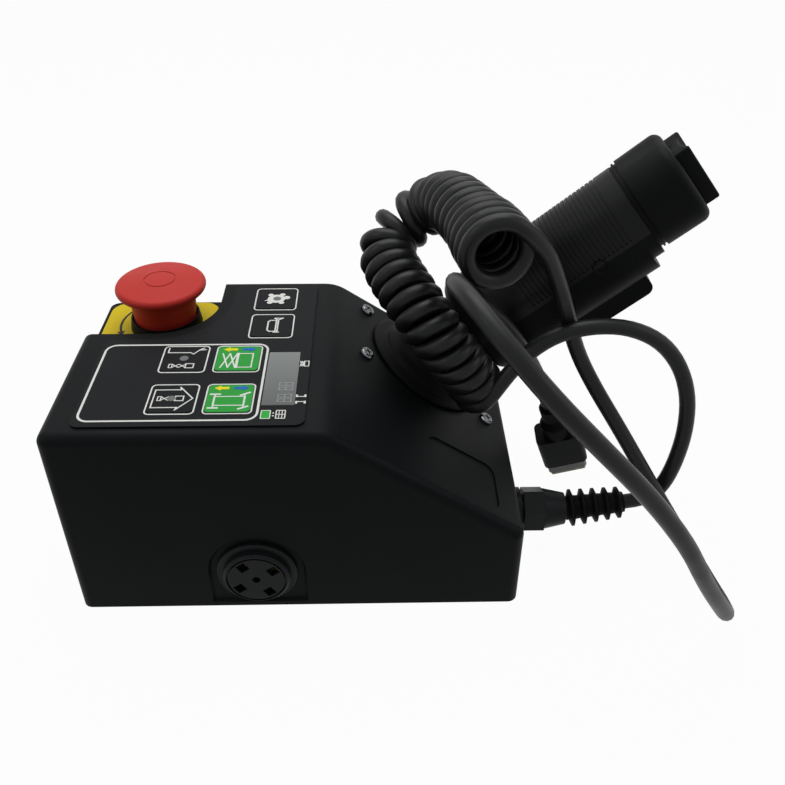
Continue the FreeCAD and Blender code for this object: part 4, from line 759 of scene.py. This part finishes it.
# %% Draw the keys' signs
FILM_TOP, KEY_TOP = 96.8, 97.0
SIGN_SCALE = 1.1
ARROW = [(2.9, 0), (0.4, 1.6), (0.4, 0.75), (-2.6, 0.75), (-2.6, -0.75), (0.4, -0.75), (0.4, -1.6)]
ARROW_HEIGHT = 6.2
KEY_PLACES = {
    "key_indoor": (-47.3, -37.4), "key_outdoor": (-47.3, -8.8), "key_drive": (-24.5, -37.4),
    "key_lift": (-24.5, -8.8), "key_horn": (-12.5, 17.5), "key_slow": (-12.5, 41.5),
}


def frame_line(ink, x0, y0, x1, y1, width, colour="white"):
    """A line round a rectangle with square corners."""
    line(ink, [(x0, y0), (x1, y0), (x1, y1), (x0, y1)], width, colour, closed=True)


def crossed(ink, x0, y0, x1, y1, width):
    """A pair of crossed arms."""
    bar(ink, (x0, y0), (x1, y1), width)
    bar(ink, (x0, y1), (x1, y0), width)


def small_lift(ink, x, y):
    """A raised platform seen from its side: base, two crossed pairs of arms, rail."""
    frame_line(ink, x - 5.6, y - 1.2, x - 4.4, y + 1.2, 0.4)
    for start in (-4.4, -1.8):
        crossed(ink, x + start, y - 1.1, x + start + 2.6, y + 1.1, 0.4)
    frame_line(ink, x + 0.8, y - 1.4, x + 3.8, y + 1.4, 0.45)


def way_arrows(ink):
    """A yellow arrow to the left and a blue one to the right, along the key's far edge."""
    for sign, colour, x in ((-1, "yellow", -3.4), (1, "blue", 3.6)):
        patch(ink, [(x + sign * u, ARROW_HEIGHT + sign * v) for u, v in ARROW], colour)


def indoor_sign(ink):
    """A house with a lift in it."""
    line(ink, [(2.4, 5.4), (-7, 5.4), (-7, -5.4), (2.4, -5.4)], 0.5)
    line(ink, [(2.4, 5.4), (2.0, 6.9), (7.4, 0), (2.0, -6.9), (2.4, -5.4)], 0.5)
    small_lift(ink, 0.2, 0)
    dot(ink, -0.4, 0, 1.6, "grey")


def outdoor_sign(ink):
    """A lift in the open, below a line that stands for the wind."""
    line(ink, [(-7, 7.2), (-7, 4.2), (1.6, 4.2), (3.0, 3.2), (5.0, 6.0), (7.4, 6.2)], 0.5)
    bar(ink, (5.0, 6.0), (6.6, 7.4), 0.5)
    dot(ink, -0.2, 0.2, 1.7, "grey")
    small_lift(ink, 0.4, -5.0)


def drive_sign(ink):
    """A chassis from above, its front wheels turned."""
    wheels = [
        ((-7, 2.4), (-3.8, 2.4)), ((-7, -5.9), (-3.8, -5.9)), ((4, 1.7), (7, 3.3)), ((4, -6.6), (7, -5.1)),
    ]
    frame_line(ink, -5.6, 1.0, 5.6, -4.4, 0.5)
    for a, b in wheels:
        bar(ink, a, b, 0.85)
    for x in (-5.4, 5.4):
        bar(ink, (x, 2.2), (x, -5.8), 0.45)
    way_arrows(ink)


def lift_sign(ink):
    """Scissor arms under a railed platform."""
    for start in (-6.2, -3.4):
        crossed(ink, start, -6.2, start + 2.8, 3.2, 0.6)
    bar(ink, (-0.2, -6.2), (-0.2, 3.2), 1.0)
    line(ink, [(-0.2, 3.2), (5.6, 3.2), (5.6, -6.2), (-0.2, -6.2)], 0.5)
    way_arrows(ink)


def horn_sign(ink):
    """A horn: a looped tube and its mouth."""
    line(ink, [(1.6, 4.0), (-0.8, 4.0), (-1.7, 3.1), (-1.7, -3.6), (-0.8, -4.5), (1.6, -4.5)], 0.6)
    line(ink, [(1.6, -5.2), (1.6, 4.6), (0.8, 5.6)], 0.6)
    line(ink, [(2.4, -5.2), (2.4, 4.4), (4.2, 5.6)], 0.6)
    bar(ink, (0.8, 5.6), (4.2, 5.6), 0.6)
    bar(ink, (1.0, -5.2), (3.0, -5.2), 0.6)


def slow_sign(ink):
    """A tortoise from above: a shell with a grey middle, four feet, a head and a tail."""
    dot(ink, 0, 0, 3.8, squeeze=0.9)
    dot(ink, 4.4, 0.9, 1.4)
    for x, y in ((-2.6, 3.2), (2.4, 3.4), (-2.6, -3.2), (2.4, -3.4)):
        dot(ink, x, y, 1.2, squeeze=0.9)
    patch(ink, [(-3.2, -0.4), (-3.0, -1.8), (-5.2, -1.8)])
    dot(ink, 0.3, 0, 1.7, "grey")


SIGNS = {
    "key_indoor": indoor_sign, "key_outdoor": outdoor_sign, "key_drive": drive_sign,
    "key_lift": lift_sign, "key_horn": horn_sign, "key_slow": slow_sign,
}
for key, draw_sign in SIGNS.items():
    ink = bmesh.new()
    draw_sign(ink)
    printed(key + "_sign", ink, (*KEY_PLACES[key], KEY_TOP), key + "_cap", "overlay_film", scale=SIGN_SCALE)

# %% [markdown]
# The film itself has a white outline round each key, a frame round the four that go together, and
# small signs beside the display. The display's own digits are drawn as unlit segments, which show
# faintly in real ones.

# %% Draw the film's signs
# Outlines: width, height, corner radius and line weight.
GROUP_MIDDLE, GROUP_OUTLINE = (-47.4, -24.6), (70.8, 54.8, 5.0, 0.95)
KEY_OUTLINE, KEY_OUTLINE_SHIFT = (19.8, 20.4, 2.2, 0.6), -0.15
ink = bmesh.new()
border(ink, *GROUP_MIDDLE, *GROUP_OUTLINE)
for x, y in KEY_PLACES.values():
    border(ink, x, y + KEY_OUTLINE_SHIFT, *KEY_OUTLINE)
# a small lift beside the display's far end
for low, high in ((2.3, 3.1), (3.1, 3.9)):
    crossed(ink, low, -14.9, high, -11.3, 0.4)
frame_line(ink, 4.1, -15.0, 5.9, -11.2, 0.45)
# two axles beside its near end
for y, foot in ((-40.0, -0.9), (-36.6, 0.9)):
    bar(ink, (2.4, y), (5.8, y), 0.5)
    for x in (2.4, 5.8):
        bar(ink, (x, y), (x, y + foot), 0.8)
# a green lamp and a battery
patch(ink, [(-10.8, -50.8), (-7.4, -50.8), (-7.4, -45.8), (-10.8, -45.8)], "green")
border(ink, -9.1, -48.3, 4.0, 5.6, 0.4, 0.4)
for y in (-49.2, -47.4):
    dot(ink, -6.1, y, 0.4)
border(ink, -3.2, -48.3, 4.0, 5.6, 0.4, 0.45)
bar(ink, (-4.9, -48.3), (-1.5, -48.3), 0.4)
for x in (-3.8, -2.6):
    bar(ink, (x, -50.6), (x, -46.0), 0.35)
printed("film_signs", ink, (0, 0, FILM_TOP), "box", "overlay_film")

# %% Draw the display's segments
DIGIT_FOOT, DIGIT_WAIST, DIGIT_HEAD = -5.2, -2.5, 0.2
DIGIT_HALF, SEGMENT = 1.0, 0.45
ink = bmesh.new()
for middle in (-29.4, -37.6):
    for y in (middle - 1.5, middle + 1.5):
        low, high = y - DIGIT_HALF, y + DIGIT_HALF
        digit = [(DIGIT_FOOT, low), (DIGIT_FOOT, high), (DIGIT_HEAD, high), (DIGIT_HEAD, low)]
        line(ink, digit, SEGMENT, "ghost", closed=True)
        bar(ink, (DIGIT_WAIST, low), (DIGIT_WAIST, high), SEGMENT, "ghost")
printed("display_segments", ink, (0, 0, FILM_TOP), "box", "display")

# %% [markdown]
# The stop's plate is left plain but for one curved arrow, the usual hint that the cap is turned
# to release it. It is the only black ink on the yellow.

# %% Draw the turning arrow on the stop's plate
TURN_RADIUS, TURN_WIDTH = 21.6, 1.1
TIP_LENGTH, TIP_HALF = 3.2, 2.0
ink = bmesh.new()
sweep = arc(TURN_RADIUS, range(152, 203, 6))
line(ink, sweep, TURN_WIDTH, "black")
tip = Vector(sweep[-1])
way = (tip - Vector(sweep[-2])).normalized()
across = Vector((-way.y, way.x))
patch(ink, [tip + way * TIP_LENGTH, tip + across * TIP_HALF, tip - across * TIP_HALF], "black")
printed("turning_arrow", ink, STOP_SEAT, "box", "stop_yellow")

# %% [markdown]
# ## The handle's screw cover
# A small round cap hides the screw that joins the handle's halves. It is a disc whose lid is inset
# twice, first for a flat rim and then, sunk a little, for a shallow dish.

# %% Model the cover
COVER_RADIUS, COVER_HEIGHT = 3.4, 0.7
COVER_RIM, COVER_DISH = 0.5, 0.35
COVER_SPOT = (4.0, -19.1, 72.5)  # on the handle's near side
cover = bmesh.new()
bmesh.ops.create_circle(cover, cap_ends=True, segments=32, radius=COVER_RADIUS)
grown = bmesh.ops.extrude_face_region(cover, geom=cover.faces[:])["geom"]
top = [v for v in grown if isinstance(v, bmesh.types.BMVert)]
bmesh.ops.translate(cover, verts=top, vec=(0, 0, COVER_HEIGHT))
lid = [f for f in grown if isinstance(f, bmesh.types.BMFace)]
for depth in (0.0, -COVER_DISH):
    bmesh.ops.inset_region(cover, faces=lid, thickness=COVER_RIM, depth=depth)
bmesh.ops.recalc_face_normals(cover, faces=cover.faces)
to_near = Matrix.Rotation(math.radians(90), 4, "X")
cover_place = handle_place @ Matrix.Translation(COVER_SPOT) @ to_near
piece("grip_screw_cover", cover, cover_place, "stick", "handle_plastic", nylon_black)

# %% [markdown]
# ## The thumb rocker
# The rocker on the handle's end is a dished block that a thumb tips either way. It snaps over its
# pin, so a slot runs up into its round hub. Its profile is drawn as the hinge sees it and extruded
# along the pin. A moulded key has no sharp edges, so its outer ones are rounded with a bevel.

# %% Extrude and round the rocker
ROCKER_HALF_WIDTH, ROCKER_HALF_LENGTH = 14.0, 9.0
ROCKER_TOP, ROCKER_FOOT = 8.5, 0.5
DISH_REACH, DISH_DEPTH = 7.5, 2.5
HUB_RADIUS, SLOT_RADIUS = 4.0, 1.7
ROCKER_ROUND, ROUND_FROM = 1.0, math.radians(60)  # edges as sharp as this are rounded
ROCKER_SHARP = math.radians(35)
DISH_STEPS = 16
PIN_RISE = 119  # of the rocker's pin along the handle
dish_radius = (DISH_REACH ** 2 + DISH_DEPTH ** 2) / (2 * DISH_DEPTH)

hub = arc(HUB_RADIUS, range(-65, -25, 13))
slot = arc(SLOT_RADIUS, range(180, -1, -20))
dish = [(y, ROCKER_TOP - DISH_DEPTH + dish_radius - math.sqrt(dish_radius ** 2 - y ** 2))
        for y in (DISH_REACH * (1 - 2 * step / DISH_STEPS) for step in range(DISH_STEPS + 1))]
outline = [(-y, z) for y, z in hub[::-1]] + slot + hub
outline += [(ROCKER_HALF_LENGTH, ROCKER_FOOT), (ROCKER_HALF_LENGTH, ROCKER_TOP)] + dish
outline += [(-ROCKER_HALF_LENGTH, ROCKER_TOP), (-ROCKER_HALF_LENGTH, ROCKER_FOOT)]

rocker = bmesh.new()
side = rocker.faces.new([rocker.verts.new((-ROCKER_HALF_WIDTH, y, z)) for y, z in outline])
grown = bmesh.ops.extrude_face_region(rocker, geom=[side], use_keep_orig=True)["geom"]
far_side = [v for v in grown if isinstance(v, bmesh.types.BMVert)]
bmesh.ops.translate(rocker, verts=far_side, vec=(2 * ROCKER_HALF_WIDTH, 0, 0))
bmesh.ops.recalc_face_normals(rocker, faces=rocker.faces)
sharp = [e for e in rocker.edges
         if e.calc_face_angle(0) > ROUND_FROM and min(v.co.z for v in e.verts) >= ROCKER_FOOT]
bmesh.ops.bevel(rocker, geom=sharp, offset=ROCKER_ROUND, offset_type="OFFSET", segments=4, profile=0.5,
                affect="EDGES", material=-1)
for face in rocker.faces:
    face.smooth = True
rocker_place = handle_place @ Matrix.Translation((0, 0, PIN_RISE))
thumb_rocker = piece("thumb_rocker", rocker, rocker_place, "rocker", "handle_plastic", nylon_black)
thumb_rocker.data.set_sharp_from_angle(angle=ROCKER_SHARP)
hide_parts("steer_rocker")

# %% [markdown]
# ## Last step
# The view layer is brought up to date.

# %% Bring the view layer up to date
bpy.context.view_layer.update()
